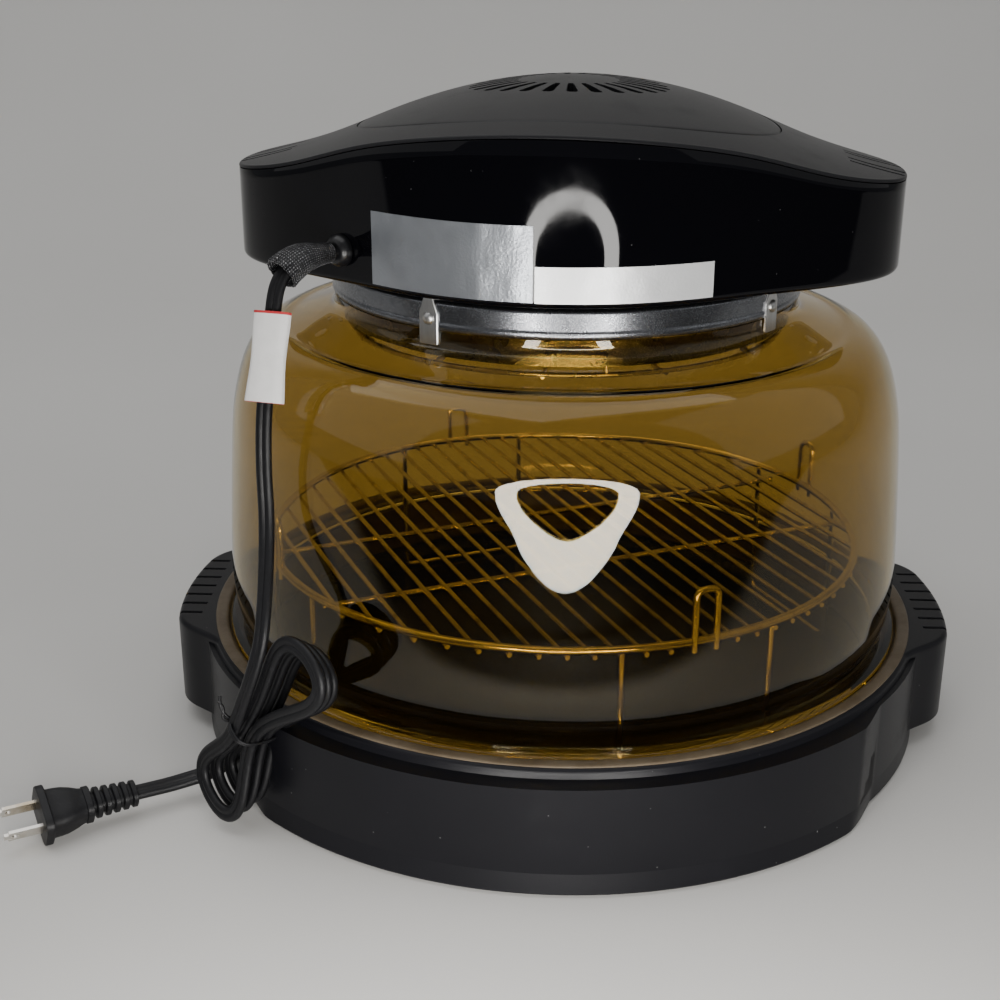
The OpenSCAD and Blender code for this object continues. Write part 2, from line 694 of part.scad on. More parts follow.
module key_board() {
    color([0.1, 0.35, 0.18]) {
        at_head() {
            band(board_r - 1.6, board_r, 90 - fascia_half, 90 + fascia_half, floor_in_z, head_z + 54);
            band(board_r - 0.2, fascia_in - 1.5, 91 - window_half, 89 + window_half, window_z0 + 1,
                window_z1 - 1);
        }
        for (k = [1:8]) key_axis(k) translate([0, 0, board_r - 0.3])
            cylinder(h = key_back - key_travel - 0.2 - board_r + 0.3, r = 3, $fn = 24);
    }
}

module control_fascia() {
    color(black_gloss) difference() {
        at_head() band(fascia_in, fascia_in + fascia_t, 90 - fascia_half, 90 + fascia_half, fascia_z0,
            fascia_z1);
        at_head() band(fascia_in - 2, fascia_in + 4, 90 - window_half, 90 + window_half, window_z0,
            window_z1);
        for (k = [1:8]) key_axis(k) translate([0, 0, head_mid_r - 8]) cylinder(h = 16, r = key_r + key_gap,
            $fn = 48);
    }
}

module display_window() {
    inset = 0.15;                       // degrees left clear at each end
    color([0.12, 0.02, 0.02]) at_head() band(fascia_in - 0.3, fascia_in + fascia_t - 0.2,
        90 - window_half + inset, 90 + window_half - inset, window_z0 + clear, window_z1 - clear);
}

module key(k) {
    color([0.5, 0.5, 0.52]) key_axis(k) {
        translate([0, 0, key_back]) cylinder(h = key_out - key_back, r = key_r, $fn = 48);
        translate([0, 0, key_back]) cylinder(h = 2.6, r = key_r + 1.3, $fn = 48);
    }
}

module key_1() { key(1); }
module key_2() { key(2); }
module key_3() { key(3); }
module key_4() { key(4); }
module key_5() { key(5); }
module key_6() { key(6); }
module key_7() { key(7); }
module key_8() { key(8); }

module pan_head_screw(length, r) {
    translate([0, 0, -1.6]) difference() {
        cylinder(h = 1.6, r = 3.4, $fn = 24);
        for (a = [0, 90]) rotate([0, 0, a]) translate([0, 0, 0.3]) cube([3.6, 0.7, 1], center = true);
    }
    translate([0, 0, -0.1]) cylinder(h = length, r = r, $fn = 24);
}

module housing_screws() {
    color(zinc) at_head() for (p = pillar_at) translate([p[0], p[1], head_z]) pan_head_screw(14,
        screw_r - 0.1);
}

module bracket_screws() {
    color(zinc) at_head() for (a = [0:120:240]) rotate([0, 0, a])
        translate([bracket_screw_r, 0, motor_z]) rotate([180, 0, 0]) pan_head_screw(bracket_t + 0.1,
            screw_r);
}

// Blank foil plate that follows the housing's wall from angle a0 to a1
module foil_plate(a0, a1, z0, z1) {
    function wall_line(out) = [for (i = [0:16]) let (a = a0 + (a1 - a0) * i / 16,
        r = head_edge(a) + out) r * [cos(a), sin(a)]];
    color(bright) at_head() translate([0, 0, z0]) linear_extrude(z1 - z0)
        polygon(concat(wall_line(0.1), reversed(wall_line(0.35))));
}

module rating_plate_left() { foil_plate(-130, -91.6, head_z + 2.8, head_z + 35.8); }
module rating_plate_right() { foil_plate(-91.2, -53.2, head_z + 2.6, head_z + 18.6); }

// ---------- power cord ----------

// The cord leaves the housing at exit_p towards exit_az, level with the table
exit_p = [-105, -78, 258];
exit_az = -130;
bushing_neck_r = 5.4;
bushing_lip_r = 7;
bushing_lip = 5.4;
sleeve_len = 26;

module along_exit() {
    translate(exit_p) rotate([0, 0, exit_az]) rotate([0, 90, 0]) children();
}

module cord_bushing() {
    color(black_satin) along_exit() difference() {
        rotate_extrude() polygon([[0, 0], [bushing_lip_r - 1, 0], [bushing_lip_r, -1], [bushing_lip_r,
            -bushing_lip],
            [bushing_neck_r, -bushing_lip], [bushing_neck_r, -bushing_lip - 5], [bushing_neck_r + 1.2,
                -bushing_lip - 5],
            [bushing_neck_r + 1.2, -bushing_lip - 7], [0, -bushing_lip - 7]]);
        translate([0, 0, -5]) cylinder(h = 10, r = cord_d / 2 + 0.1, $fn = 32);
    }
}

module cord_sleeve() {
    color([0.3, 0.3, 0.3]) along_exit() rotate_extrude() polygon([
        [cord_d / 2 + 0.6, 0.1], [cord_d / 2 + 1.6, 0.1], [5, 10], [7, sleeve_len - 3], [8, sleeve_len],
        [7.2, sleeve_len], [6.2, sleeve_len - 3], [4.2, 10]]);
}

// Points of the lead from the bushing to the hank
lead_points = [[-105, -78, 258], [-111.5, -85.6, 258], [-117.3, -92, 257.5], [-122.5, -97, 254.5], [-126.5,
    -101, 248],
    [-128, -104, 240], [-129, -107, 230], [-130, -111, 218], [-131, -115, 206], [-132, -118.5, 194],
    [-132.5, -121, 181], [-132.8, -122, 166], [-132.3, -124, 151], [-131.8, -129.5, 137], [-131.3, -138, 124],
    [-131, -147.5, 111.5], [-132, -154.3, 98]];
plug_start = [-199, -138.8, 11];
plug_az = -147;
plug_pitch = 2;
plug_roll = -30;
plug_dir = [cos(plug_pitch) * cos(plug_az), cos(plug_pitch) * sin(plug_az), sin(plug_pitch)];

// The hank leans on the base. Its plane faces hank_az and tips back by hank_lean; along
// runs hank_tilt above level. Its turns are drawn in at the waist, where the tie holds them.
hank_waist = [-142.5, -151.2, 52.5];
hank_az = -133.3;
hank_lean = 7.6;
hank_tilt = 59.1;
hank_bend = 10.2;                       // each lobe bends this much from the long axis
hank_layer = cord_d + 0.7;              // step from one layer of turns to the next
hank_gap = 3.7;                         // half the distance between the two runs at the waist
upper_lobe = [65.6, 15.1];              // reach and half width of the upper lobe
lower_lobe = [43.7, 12.6];
hank_steps = 24;

face_dir = [cos(hank_az) * cos(hank_lean), sin(hank_az) * cos(hank_lean), sin(hank_lean)];
level_dir = [-sin(hank_az), cos(hank_az), 0];
rise_dir = cross(face_dir, level_dir);
long_dir = cos(hank_tilt) * level_dir + sin(hank_tilt) * rise_dir;
wide_dir = cos(hank_tilt) * rise_dir - sin(hank_tilt) * level_dir;

function on_hank(s, q, w) = hank_waist + s * long_dir + q * wide_dir + w * face_dir;
function lobe_bow(s) = tan(hank_bend) * (8 - sqrt(s * s + 64));
// The first run comes in straight, in line with the lower lobe
function first_bow(s) = let (g = ease(1 + s / 30)) (1 - g) * lobe_bow(s) + g * tan(hank_bend) * s;
function hank_layer_at(t) = let (k = floor(t - 0.5)) k + ease((t - 0.5 - k) * 4);
function hank_w(t) = hank_layer * (hank_turns / 2 - 1 - hank_layer_at(t));
function hank_point(t) =
    let (c = cos(360 * t), n = sin(360 * t), k = floor(t + 0.25),
         lobe = c > 0 ? upper_lobe : lower_lobe, reach = lobe[0] - (c > 0 ? 4 : 2.5) * k,
         s = reach * c, q = n * (hank_gap + (lobe[1] - 1.5 * k) / 0.385 * c * c),
         bow = t < 0.5 ? first_bow(s) : lobe_bow(s))
    on_hank(s, q + bow, hank_w(t));
function unit(v) = v / norm(v);

hank_in_dir = -unit(cos(hank_bend) * long_dir + sin(hank_bend) * wide_dir);
hank_body = [for (i = [0:hank_turns * hank_steps]) hank_point(0.25 + i / hank_steps)];
hank_in = hank_body[0] - 19 * hank_in_dir;
hank_out = hank_body[len(hank_body) - 1] - 9 * long_dir;
hank_line = concat([hank_in, hank_in + cord_d * hank_in_dir, hank_in + 12.5 * hank_in_dir], hank_body,
    [hank_out + cord_d * 0.99 * long_dir - cord_d * 0.33 * long_dir, hank_out]);

// Frames that turn as little as they can along a line of points
function tangent(p, i) = i == 0 ? unit(p[1] - p[0]) :
    i == len(p) - 1 ? unit(p[i] - p[i - 1]) : unit(p[i + 1] - p[i - 1]);
function across(v, t) = unit(v - (v * t) * t);
function side_list(p, i = 0, v = [0.3, -0.2, 1]) =
    i == len(p) ? [] : let (u = across(v, tangent(p, i))) concat([u], side_list(p, i + 1, u));
function tube_rings(p, r, n) =
    let (side = side_list(p)) [for (i = [0:len(p) - 1]) let (u = side[i], w = cross(tangent(p, i), u))
        [for (j = [0:n - 1]) p[i] + r * (cos(360 * j / n) * u + sin(360 * j / n) * w)]];

module tube(p, r, n) { capped_skin(reversed(tube_rings(p, r, n))); }

// Smooth line through hand-set points, with n steps to a stretch
function through(p, n) = concat([for (i = [0:len(p) - 2], k = [0:n - 1])
    let (t = k / n, a = p[max(0, i - 1)], b = p[i], c = p[i + 1], d = p[min(len(p) - 1, i + 2)])
    0.5 * (2 * b + (c - a) * t + (2 * a - 5 * b + 4 * c - d) * t * t + (3 * b - a - 3 * c + d) * t * t * t)],
    [p[len(p) - 1]]);

lead_line = through(concat(lead_points, [hank_in - 10 * hank_in_dir, hank_in - 5 * hank_in_dir, hank_in]),
    3);
tail_w = hank_w(hank_turns);            // the tail leaves from the layer nearest the base
tail_points = [on_hank(-25, 5.3, tail_w), [-152.3, -125.7, 25.2], [-160, -122.3, 17.7], [-169, -122.4, 12.6],
    [-178, -125.6, 10.8], [-186, -130.4, 10.4]];
tail_line = through(concat([hank_out, hank_out - 4 * long_dir, hank_out - 8 * long_dir], tail_points,
    [plug_start - 8 * plug_dir, plug_start - 4 * plug_dir, plug_start]), 3);

function run_length(p, i = 0) = i >= len(p) - 1 ? 0 : norm(p[i + 1] - p[i]) + run_length(p, i + 1);
// Least gap of the hank's tube to itself, over points more than a few steps apart
hank_gaps = [for (i = [0:len(hank_line) - 1], j = [i + 5:1:len(hank_line) - 1])
    if (norm(hank_line[i] - hank_line[j]) < 12) norm(hank_line[i] - hank_line[j]) - cord_d];
echo(hank_least_gap = min(hank_gaps), lead = run_length(lead_line), hank = run_length(hank_line),
    tail = run_length(tail_line));

module cord_lead() { color(black_satin) tube(lead_line, cord_d / 2, 8); }
module cord_hank() { color(black_satin) tube(hank_line, cord_d / 2, 6); }
module cord_tail() { color(black_satin) tube(tail_line, cord_d / 2, 8); }

// Flattened ring round an oblong w by d
module oblong(w, d, r) {
    square([w - 2 * r, d], center = true);
    square([w, d - 2 * r], center = true);
    for (x = [r - w / 2, w / 2 - r], y = [r - d / 2, d / 2 - r]) translate([x, y]) circle(r, $fn = 24);
}

module cord_tie() {
    tie_w = 2 * (hank_gap + cord_d / 2 + clear);
    tie_d = hank_layer * hank_turns + cord_d + 2 * clear;
    color([0.05, 0.05, 0.05]) multmatrix([
        [wide_dir[0], face_dir[0], -long_dir[0], hank_waist[0]],
        [wide_dir[1], face_dir[1], -long_dir[1], hank_waist[1]],
        [wide_dir[2], face_dir[2], -long_dir[2], hank_waist[2]], [0, 0, 0, 1]])
        translate([0, -hank_layer, -1]) {
            linear_extrude(2) difference() {
                oblong(tie_w + 1.8, tie_d + 1.8, 3);
                oblong(tie_w, tie_d, 2.6);
            }
            translate([tie_w / 2 + 0.6, 4, 1]) rotate([0, 75, 20]) cylinder(h = 13, r = 0.9, $fn = 16);
        }
}

tag_top = [-128.6, -105.6, 235];
tag_bottom = [-131.6, -117, 199];

module cord_tag() {
    d = tag_bottom - tag_top;
    color([0.93, 0.93, 0.9]) translate(tag_top) rotate([0, 0, atan2(d[1], d[0])])
        rotate([0, acos(d[2] / norm(d)), 0]) rotate([0, 0, 33]) translate([-0.5, 3.4,
            0]) linear_extrude(norm(d)) difference() {
            oblong(8.4, 17, 3);
            oblong(7.8, 16.4, 2.7);
        }
}

// ---------- plug ----------

blade_gap = 12.7;                       // standard spacing of a two-blade plug
blade_len = 17.5;
blade_w = 6.35;
blade_t = 1.5;
grip_len = 24;                          // ribbed strain relief
body_len = 19;
face_t = 3.5;

module along_plug() {
    translate(plug_start) rotate([0, 0, plug_az]) rotate([0, -plug_pitch, 0]) rotate([0, 90, 0])
        rotate([0, 0, plug_roll]) children();
}

module plug_body() {
    color(black_satin) along_plug() {
        cylinder(h = grip_len, r1 = cord_d / 2 + 1, r2 = cord_d / 2 + 1.6, $fn = 32);
        for (z = [0:4.4:grip_len - 4]) translate([0, 0, z]) cylinder(h = 2.4, r1 = 4.6 + z / 14,
            r2 = 4.8 + z / 14, $fn = 32);
        translate([0, 0, grip_len - 1]) linear_extrude(body_len) oblong(15, 19, 5.5);
        translate([0, 0, grip_len + body_len - 1.1]) linear_extrude(face_t) oblong(17.5, 24.5, 6);
    }
}

module plug_blades() {
    color(nickel) along_plug() for (s = [1, -1])
        translate([0, s * blade_gap / 2, grip_len + body_len + face_t - 1.1]) difference() {
            union() {
                translate([-blade_w / 2, -blade_t / 2, 0]) cube([blade_w, blade_t, blade_len - 2]);
                translate([-blade_w / 4, -blade_t / 2, 1]) cube([blade_w / 2, blade_t, blade_len - 1]);
            }
            translate([0, 5, blade_len - 5]) rotate([90, 0, 0]) cylinder(h = 10, r = 1.5, $fn = 24);
        }
}

base_shell();
base_feet();
liner_pan();
rack_grid();
rack_long_legs();
rack_short_loops();
dome_shell();
lower_housing();
upper_cover();
cover_pillars();
vent_cap();
heater_can();
insulation_ring();
reflector();
lamp_ring();
lamp_clips();
lamp_end_caps();
guard_grille();
locating_clips();
clip_rivets();
motor_bracket();
motor_can();
motor_bushes();
motor_shaft();
hot_fan();
cooling_fan();
temperature_probe();
power_board();
key_board();
control_fascia();
display_window();
key_1();
key_2();
key_3();
key_4();
key_5();
key_6();
key_7();
key_8();
housing_screws();
bracket_screws();
rating_plate_left();
rating_plate_right();
cord_bushing();
cord_sleeve();
cord_lead();
cord_hank();
cord_tail();
cord_tie();
cord_tag();
plug_body();
plug_blades();
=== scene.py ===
import bpy
import numpy as np
from mathutils import Matrix


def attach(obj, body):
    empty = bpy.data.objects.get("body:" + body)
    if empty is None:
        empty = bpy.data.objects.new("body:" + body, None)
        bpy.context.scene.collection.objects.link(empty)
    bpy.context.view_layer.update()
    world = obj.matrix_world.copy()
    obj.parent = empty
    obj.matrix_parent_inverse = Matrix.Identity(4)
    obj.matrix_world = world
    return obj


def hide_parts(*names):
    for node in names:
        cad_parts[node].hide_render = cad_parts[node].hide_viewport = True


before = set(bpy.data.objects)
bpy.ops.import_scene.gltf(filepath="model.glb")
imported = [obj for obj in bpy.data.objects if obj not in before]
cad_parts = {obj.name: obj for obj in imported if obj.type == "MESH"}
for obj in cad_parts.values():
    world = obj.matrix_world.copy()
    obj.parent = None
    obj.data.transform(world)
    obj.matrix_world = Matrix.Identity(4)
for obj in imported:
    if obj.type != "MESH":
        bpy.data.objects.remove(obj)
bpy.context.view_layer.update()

# ---------------------------------------- camera
# The camera stands 0.75 m in front of the oven's axis, a little higher than the head, and looks
# down by 21 degrees. Its angles are in radians, and its focal length is in widths of the picture.
yaw, pitch, roll = -0.0433974, 0.3614467, 0.0027332
ahead = np.array([np.sin(yaw) * np.cos(pitch), np.cos(yaw) * np.cos(pitch), -np.sin(pitch)])
level = np.array([np.cos(yaw), -np.sin(yaw), 0.0])
upright = np.cross(level, ahead)
across = np.cos(roll) * level + np.sin(roll) * upright
upward = -np.sin(roll) * level + np.cos(roll) * upright
camera_place = (0, -0.752482, 0.394879)
sensor, focal_widths = 36, 1.512967


def placed(right, up, back, place):
    """Matrix of an object at place whose own three axes point right, up and back."""
    rows = np.column_stack([right, up, back, place]).tolist()
    return Matrix([*rows, [0, 0, 0, 1]])


camera = bpy.data.objects.new("camera", bpy.data.cameras.new("camera"))
bpy.context.collection.objects.link(camera)
camera.matrix_world = placed(across, upward, -ahead, camera_place)
camera.data.lens = sensor * focal_widths
camera.data.sensor_width = sensor
bpy.context.scene.camera = camera

# ---------------------------------------- finishes and meshes
# Procedural materials, curves, and meshes made of rings of points.


class Field:
    """One value of a finish as it changes over the surface; arithmetic on it adds Math nodes."""

    def __init__(self, finish, socket):
        self.finish, self.socket = finish, socket

    def math(self, operation, *values):
        return self.finish.node("ShaderNodeMath", {"operation": operation}, *values)

    def __add__(self, other):
        return self.math("ADD", self, other)

    def __mul__(self, other):
        return self.math("MULTIPLY", self, other)

    __radd__, __rmul__ = __add__, __mul__

    def __sub__(self, other):
        return self.math("SUBTRACT", self, other)

    def __rsub__(self, other):
        return self.math("SUBTRACT", other, self)

    def sine(self):
        return self.math("SINE", self)

    def rise(self, low, high):
        """0 below low and 1 above high, with a soft climb between; low may be the larger."""
        soft = {"interpolation_type": "SMOOTHSTEP"}
        return self.finish.node("ShaderNodeMapRange", soft, self, low, high, 0.0, 1.0)


class Finish:
    """A procedural material: constants go straight on the shader's sockets, and fields are linked."""

    def __init__(self, name, colour, roughness, **constants):
        self.material = bpy.data.materials.new(name)
        self.material.use_nodes = True
        self.tree = self.material.node_tree
        self.shader = self.tree.nodes["Principled BSDF"]
        self.set(Base_Color=(*colour, 1.0), Roughness=roughness, **constants)
        self.place = self.node("ShaderNodeTexCoord", {}, output="Object")

    def plug(self, socket, value):
        """A field is linked to the socket, and anything else becomes its value."""
        if isinstance(value, Field):
            self.tree.links.new(value.socket, socket)
        else:
            socket.default_value = value

    def set(self, **values):
        """Values for the shader's sockets, by their names with _ for a space."""
        for name, value in values.items():
            self.plug(self.shader.inputs[name.replace("_", " ")], value)
        return self

    def node(self, kind, settings, *values, output=0, **named):
        """New node: values go to its inputs in order and named ones by name; gives one output."""
        made = self.tree.nodes.new(kind)
        for name, value in settings.items():
            setattr(made, name, value)
        for socket, value in zip([s for s in made.inputs if s.enabled], values):
            self.plug(socket, value)
        for name, value in named.items():
            self.plug(made.inputs[name], value)
        outputs = [s for s in made.outputs if s.enabled]
        return Field(self, made.outputs[output] if isinstance(output, str) else outputs[output])

    def stretched(self, scale, turn=(0, 0, 0)):
        """Places on the surface, turned and then scaled along each axis."""
        return self.node("ShaderNodeMapping", {}, self.place, Rotation=turn, Scale=scale)

    def noise(self, size, detail=2.0, rough=0.5, where=None):
        """Cloudy value from 0 to 1 with features about size millimetres across."""
        values = {"Vector": where or self.place, "Scale": 1000.0 / size, "Detail": detail, "Roughness": rough}
        return self.node("ShaderNodeTexNoise", {}, **values)

    def specks(self, size, where=None):
        """Distance from scattered points that lie about size millimetres apart, in cell sizes."""
        values = {"Vector": where or self.place, "Scale": 1000.0 / size}
        return self.node("ShaderNodeTexVoronoi", {}, output="Distance", **values)

    def blend(self, factor, first, second):
        """The first colour where the factor is 0 and the second where it is 1."""
        colours = ((*c, 1.0) if isinstance(c, tuple) else c for c in (first, second))
        return self.node("ShaderNodeMix", {"data_type": "RGBA"}, factor, *colours)

    def part(self, vector, axis):
        """The vector's X, Y or Z."""
        return self.node("ShaderNodeSeparateXYZ", {}, vector, output=axis)

    def relief(self, height, depth):
        """Bump of the given height field, depth millimetres from 0 to 1."""
        bump = self.node("ShaderNodeBump", {}, Height=height, Distance=depth / 1000, Strength=1.0)
        return self.set(Normal=bump)


def circle_of(count):
    """Angles of count points that are spread evenly round a circle."""
    return np.linspace(0, 2 * np.pi, count, endpoint=False)


def polar(radius, angle, z):
    """Points: x is the radius times the cosine of the angle, y the radius times its sine."""
    return np.stack(np.broadcast_arrays(radius * np.cos(angle), radius * np.sin(angle), z), -1)


def unit(v):
    """Vectors divided by their own lengths."""
    v = np.asarray(v, float)
    return v / np.linalg.norm(v, axis=-1, keepdims=True)


def ease(t):
    """Soft step: 3 t squared minus 2 t cubed between 0 and 1."""
    t = np.clip(t, 0, 1)
    return t * t * (3 - 2 * t)


def through(points, steps):
    """Catmull-Rom curve: each stretch is a cubic of its two ends and their neighbours."""
    p = np.asarray(points, float)
    a, b, c, d = np.vstack([p[:1], p[:-2]]), p[:-1], p[1:], np.vstack([p[2:], p[-1:]])
    t = (np.arange(steps) / steps)[None, :, None]
    a, b, c, d = (x[:, None, :] for x in (a, b, c, d))
    square, cube = 2 * a - 5 * b + 4 * c - d, 3 * b - a - 3 * c + d
    curve = 0.5 * (2 * b + (c - a) * t + square * t**2 + cube * t**3)
    return np.vstack([curve.reshape(-1, p.shape[1]), p[-1:]])


def evenly(line, step):
    """The same line with its points about step millimetres apart."""
    run = np.r_[0, np.cumsum(np.linalg.norm(np.diff(line, axis=0), axis=1))]
    at = np.linspace(0, run[-1], int(run[-1] / step) + 2)
    return np.stack([np.interp(at, run, line[:, k]) for k in range(line.shape[1])], 1)


def carried(line, outline, face):
    """Rings of a profile carried along a line: outline (n, 2) or (m, n, 2) lies across the line,
    its first axis towards face, made square to the line, and its second square to both."""
    along = unit(np.gradient(line, axis=0))
    face = np.broadcast_to(face, line.shape)
    first = unit(face - (face * along).sum(1, keepdims=True) * along)
    second = np.cross(along, first)
    outline = np.broadcast_to(outline, (len(line), *np.shape(outline)[-2:]))
    return line[:, None] + outline[..., :1] * first[:, None] + outline[..., 1:] * second[:, None]


def mesh_piece(name, finish, slot, body, *surfaces, sharp=35.0, replaces=()):
    """A mesh object from closed surfaces. A surface is (grid, kind): grid is (m, n, 3) in
    millimetres, closed round its second axis; kind "tube" closes its two ends with flat faces, and
    kind "ring" joins the last row to the first. Faces are turned outwards by the sign of the
    enclosed volume: the sum of the triple products of each face's corners."""
    points, quads, ends, uvs, start = [], [], [], [], 0
    for grid, kind in surfaces:
        m, n = grid.shape[:2]
        i, j = np.meshgrid(np.arange(m if kind == "ring" else m - 1), np.arange(n), indexing="ij")
        corners = ((i, j), (i, j + 1), (i + 1, j + 1), (i + 1, j))
        quad = np.stack([a % m * n + b % n for a, b in corners], -1).reshape(-1, 4)
        uv = np.stack([np.stack([a / m, b / n], -1) for a, b in corners], 2).reshape(-1, 4, 2)
        flat = grid.reshape(-1, 3)
        a, b, c, d = (flat[quad[:, k]] - flat.mean(0) for k in range(4))
        volume = (np.cross(a, b) * c).sum() + (np.cross(a, c) * d).sum()
        caps = [] if kind == "ring" else [np.arange(n)[::-1], (m - 1) * n + np.arange(n)]
        if volume < 0:
            quad, uv, caps = quad[:, ::-1], uv[:, ::-1], [c[::-1] for c in caps]
        points.append(flat)
        quads.append(quad + start)
        uvs.append(uv)
        ends += [c + start for c in caps]
        start += m * n
    points, quads = np.vstack(points) / 1000.0, np.vstack(quads)
    made = bpy.data.meshes.new(name)
    made.from_pydata(points.tolist(), [], quads.tolist() + [e.tolist() for e in ends])
    layer = made.uv_layers.new(name="UVMap")
    flat_uv = np.zeros((len(made.loops), 2))
    flat_uv[: quads.size] = np.vstack(uvs).reshape(-1, 2)
    layer.data.foreach_set("uv", flat_uv.ravel())
    made.polygons.foreach_set("use_smooth", np.ones(len(made.polygons), bool))
    made.set_sharp_from_angle(angle=np.radians(sharp))
    made.materials.append(finish.material)
    piece = bpy.data.objects.new(name, made)
    bpy.context.collection.objects.link(piece)
    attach(piece, body)
    if replaces:
        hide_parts(*replaces)
    return piece


# ---------------------------------------- power cord
# One flat two-wire cord in satin black vinyl, 7.6 mm wide, with a groove between its wires.
# It leaves the head through a bushing, runs down past the dome, is wound to and fro into a
# tied hank that leans on the base, and ends in the plug.
cord_width, cord_thick, layer_step, waist_half = 7.6, 4.6, 6.3, 3.7
waist = np.array([-142.5, -151.2, 52.5])
lean_az, lean, tilt, lobe_bend = np.radians([-133.3, 7.6, 59.1, 10.2])
facing = polar(np.cos(lean), lean_az, np.sin(lean))
level_run = np.array([-np.sin(lean_az), np.cos(lean_az), 0.0])
rise_run = np.cross(facing, level_run)
long_run = np.cos(tilt) * level_run + np.sin(tilt) * rise_run
wide_run = np.cos(tilt) * rise_run - np.sin(tilt) * level_run


def on_hank(s, q, w):
    """Point of the hank at s along it, q across it and w towards its face."""
    along, sideways = np.multiply.outer(s, long_run), np.multiply.outer(q, wide_run)
    return waist + along + sideways + np.multiply.outer(w, facing)


def layer_height(t):
    """Height of the winding after t turns: it climbs a step in the quarter past each half turn."""
    k = np.floor(t - 0.5)
    return layer_step * (0.5 - k - ease((t - 0.5 - k) * 4))


def hank_winding(t):
    """Bow-tie loop: along is reach times the cosine, across is the sine times a width that grows
    with the squared cosine. Both lobes bend away from the long axis, and shrink turn by turn."""
    c, n, k = np.cos(2 * np.pi * t), np.sin(2 * np.pi * t), np.floor(t + 0.25)
    reach = np.where(c > 0, 65.6 - 4 * k, 43.7 - 2.5 * k)
    half = np.where(c > 0, 15.1, 12.6) - 1.5 * k
    s = reach * c
    bowed = np.tan(lobe_bend) * (8 - np.sqrt(s * s + 64))
    start = ease(1 + s / 30)
    first = (1 - start) * bowed + start * np.tan(lobe_bend) * s
    # 0.385 is the largest value of the sine times the squared cosine
    across_it = n * (waist_half + half / 0.385 * c * c) + np.where(t < 0.5, first, bowed)
    return on_hank(s, across_it, layer_height(t))


outlet = [-105, -78, 258]
lead_route = [
    outlet, [-111.5, -85.6, 258], [-117.3, -92, 257.5], [-122.5, -97, 254.5], [-126.5, -101, 248],
    [-128, -104, 240], [-129, -107, 230], [-130, -111, 218], [-131, -115, 206], [-132, -118.5, 194],
    [-132.5, -121, 181], [-132.8, -122, 166], [-132.3, -124, 151], [-131.8, -129.5, 137], [-131.3, -138, 124],
    [-131, -147.5, 111.5], [-132, -154.3, 98],
]  # fmt: skip
plug_start = np.array([-199.0, -138.8, 11.0])
plug_az, plug_pitch, plug_roll = np.radians([-147.0, 2.0, -30.0])
plug_run = polar(np.cos(plug_pitch), plug_az, np.sin(plug_pitch))
hank_in_run = -unit(np.cos(lobe_bend) * long_run + np.sin(lobe_bend) * wide_run)
turns, points_per_turn = 3, 72
winding = hank_winding(0.25 + np.arange(turns * points_per_turn + 1) / points_per_turn)
hank_start, hank_end = winding[0] - 19 * hank_in_run, winding[-1] - 9 * long_run
tail_height = layer_height(turns)
tail_route = [
    hank_end, hank_end - 4 * long_run, hank_end - 8 * long_run, on_hank(-25, 5.3, tail_height),
    [-152.3, -125.7, 25.2], [-160, -122.3, 17.7], [-169, -122.4, 12.6], [-178, -125.6, 10.8],
    [-186, -130.4, 10.4], plug_start - 8 * plug_run, plug_start - 4 * plug_run, plug_start,
]  # fmt: skip
lead = through([*lead_route, hank_start - 10 * hank_in_run, hank_start - 5 * hank_in_run, hank_start], 6)
tail = through(tail_route, 6)
cord_line = evenly(np.vstack([lead, hank_start + 6 * hank_in_run, winding, tail]), 1.5)
for _ in range(8):
    # each point moves halfway to the middle of its neighbours, so no kink is left at a join
    cord_line[1:-1] = 0.25 * cord_line[:-2] + 0.5 * cord_line[1:-1] + 0.25 * cord_line[2:]

# the cord's flat side faces up at the bushing, outwards along the lead, and the way the hank
# faces inside it; in the tail it turns to the plug's own flat side; distances are in metres
turn_plug = (
    Matrix.Rotation(plug_az, 3, "Z") @ Matrix.Rotation(-plug_pitch, 3, "Y")
    @ Matrix.Rotation(np.pi / 2, 3, "Y") @ Matrix.Rotation(plug_roll, 3, "Z")
)  # fmt: skip
plug_flat, plug_wide = np.array(turn_plug)[:, 0], np.array(turn_plug)[:, 1]
run = np.r_[0, np.cumsum(np.linalg.norm(np.diff(cord_line, axis=0), axis=1))] / 1000
hank_from = 0.001 * np.linalg.norm(np.diff(lead, axis=0), axis=1).sum()
tail_from = run[-1] - 0.001 * np.linalg.norm(np.diff(tail, axis=0), axis=1).sum()
flat_end = plug_flat * np.sign(plug_flat[2])
face_from = [
    (0, [0, 0, 1]), (0.016, [-0.1, -0.2, 1]), (0.036, [-0.3, -0.95, 0.2]),
    (hank_from - 0.06, [-0.3, -0.95, 0]), (hank_from - 0.01, facing), (tail_from, facing),
    (run[-1] - 0.05, [0.1, -0.6, 0.8]), (run[-1] - 0.01, flat_end), (run[-1], flat_end),
]  # fmt: skip
where = [place for place, _ in face_from]
cord_face = np.stack([np.interp(run, where, [face[k] for _, face in face_from]) for k in range(3)], 1)
angle = circle_of(24)
groove = 1 - 0.40 * np.exp(-((np.cos(angle) / 0.26) ** 2))
cord_section = np.stack([
    cord_thick / 2 * np.sign(np.sin(angle)) * np.abs(np.sin(angle)) ** 0.8 * groove,
    cord_width / 2 * np.cos(angle),
], 1)  # fmt: skip

vinyl = Finish("cord_vinyl", (0.006, 0.006, 0.007), 0.40, Specular_IOR_Level=0.3)
rub = vinyl.noise(6, 3)
vinyl.set(
    Roughness=0.34 + 0.2 * rub,
    Base_Color=vinyl.blend(
        vinyl.noise(1.4, 3).rise(0.55, 0.8), (0.005, 0.005, 0.006), (0.014, 0.014, 0.016)
    ),
)
vinyl.relief(vinyl.noise(0.5, 2) + 2 * rub, 0.05)

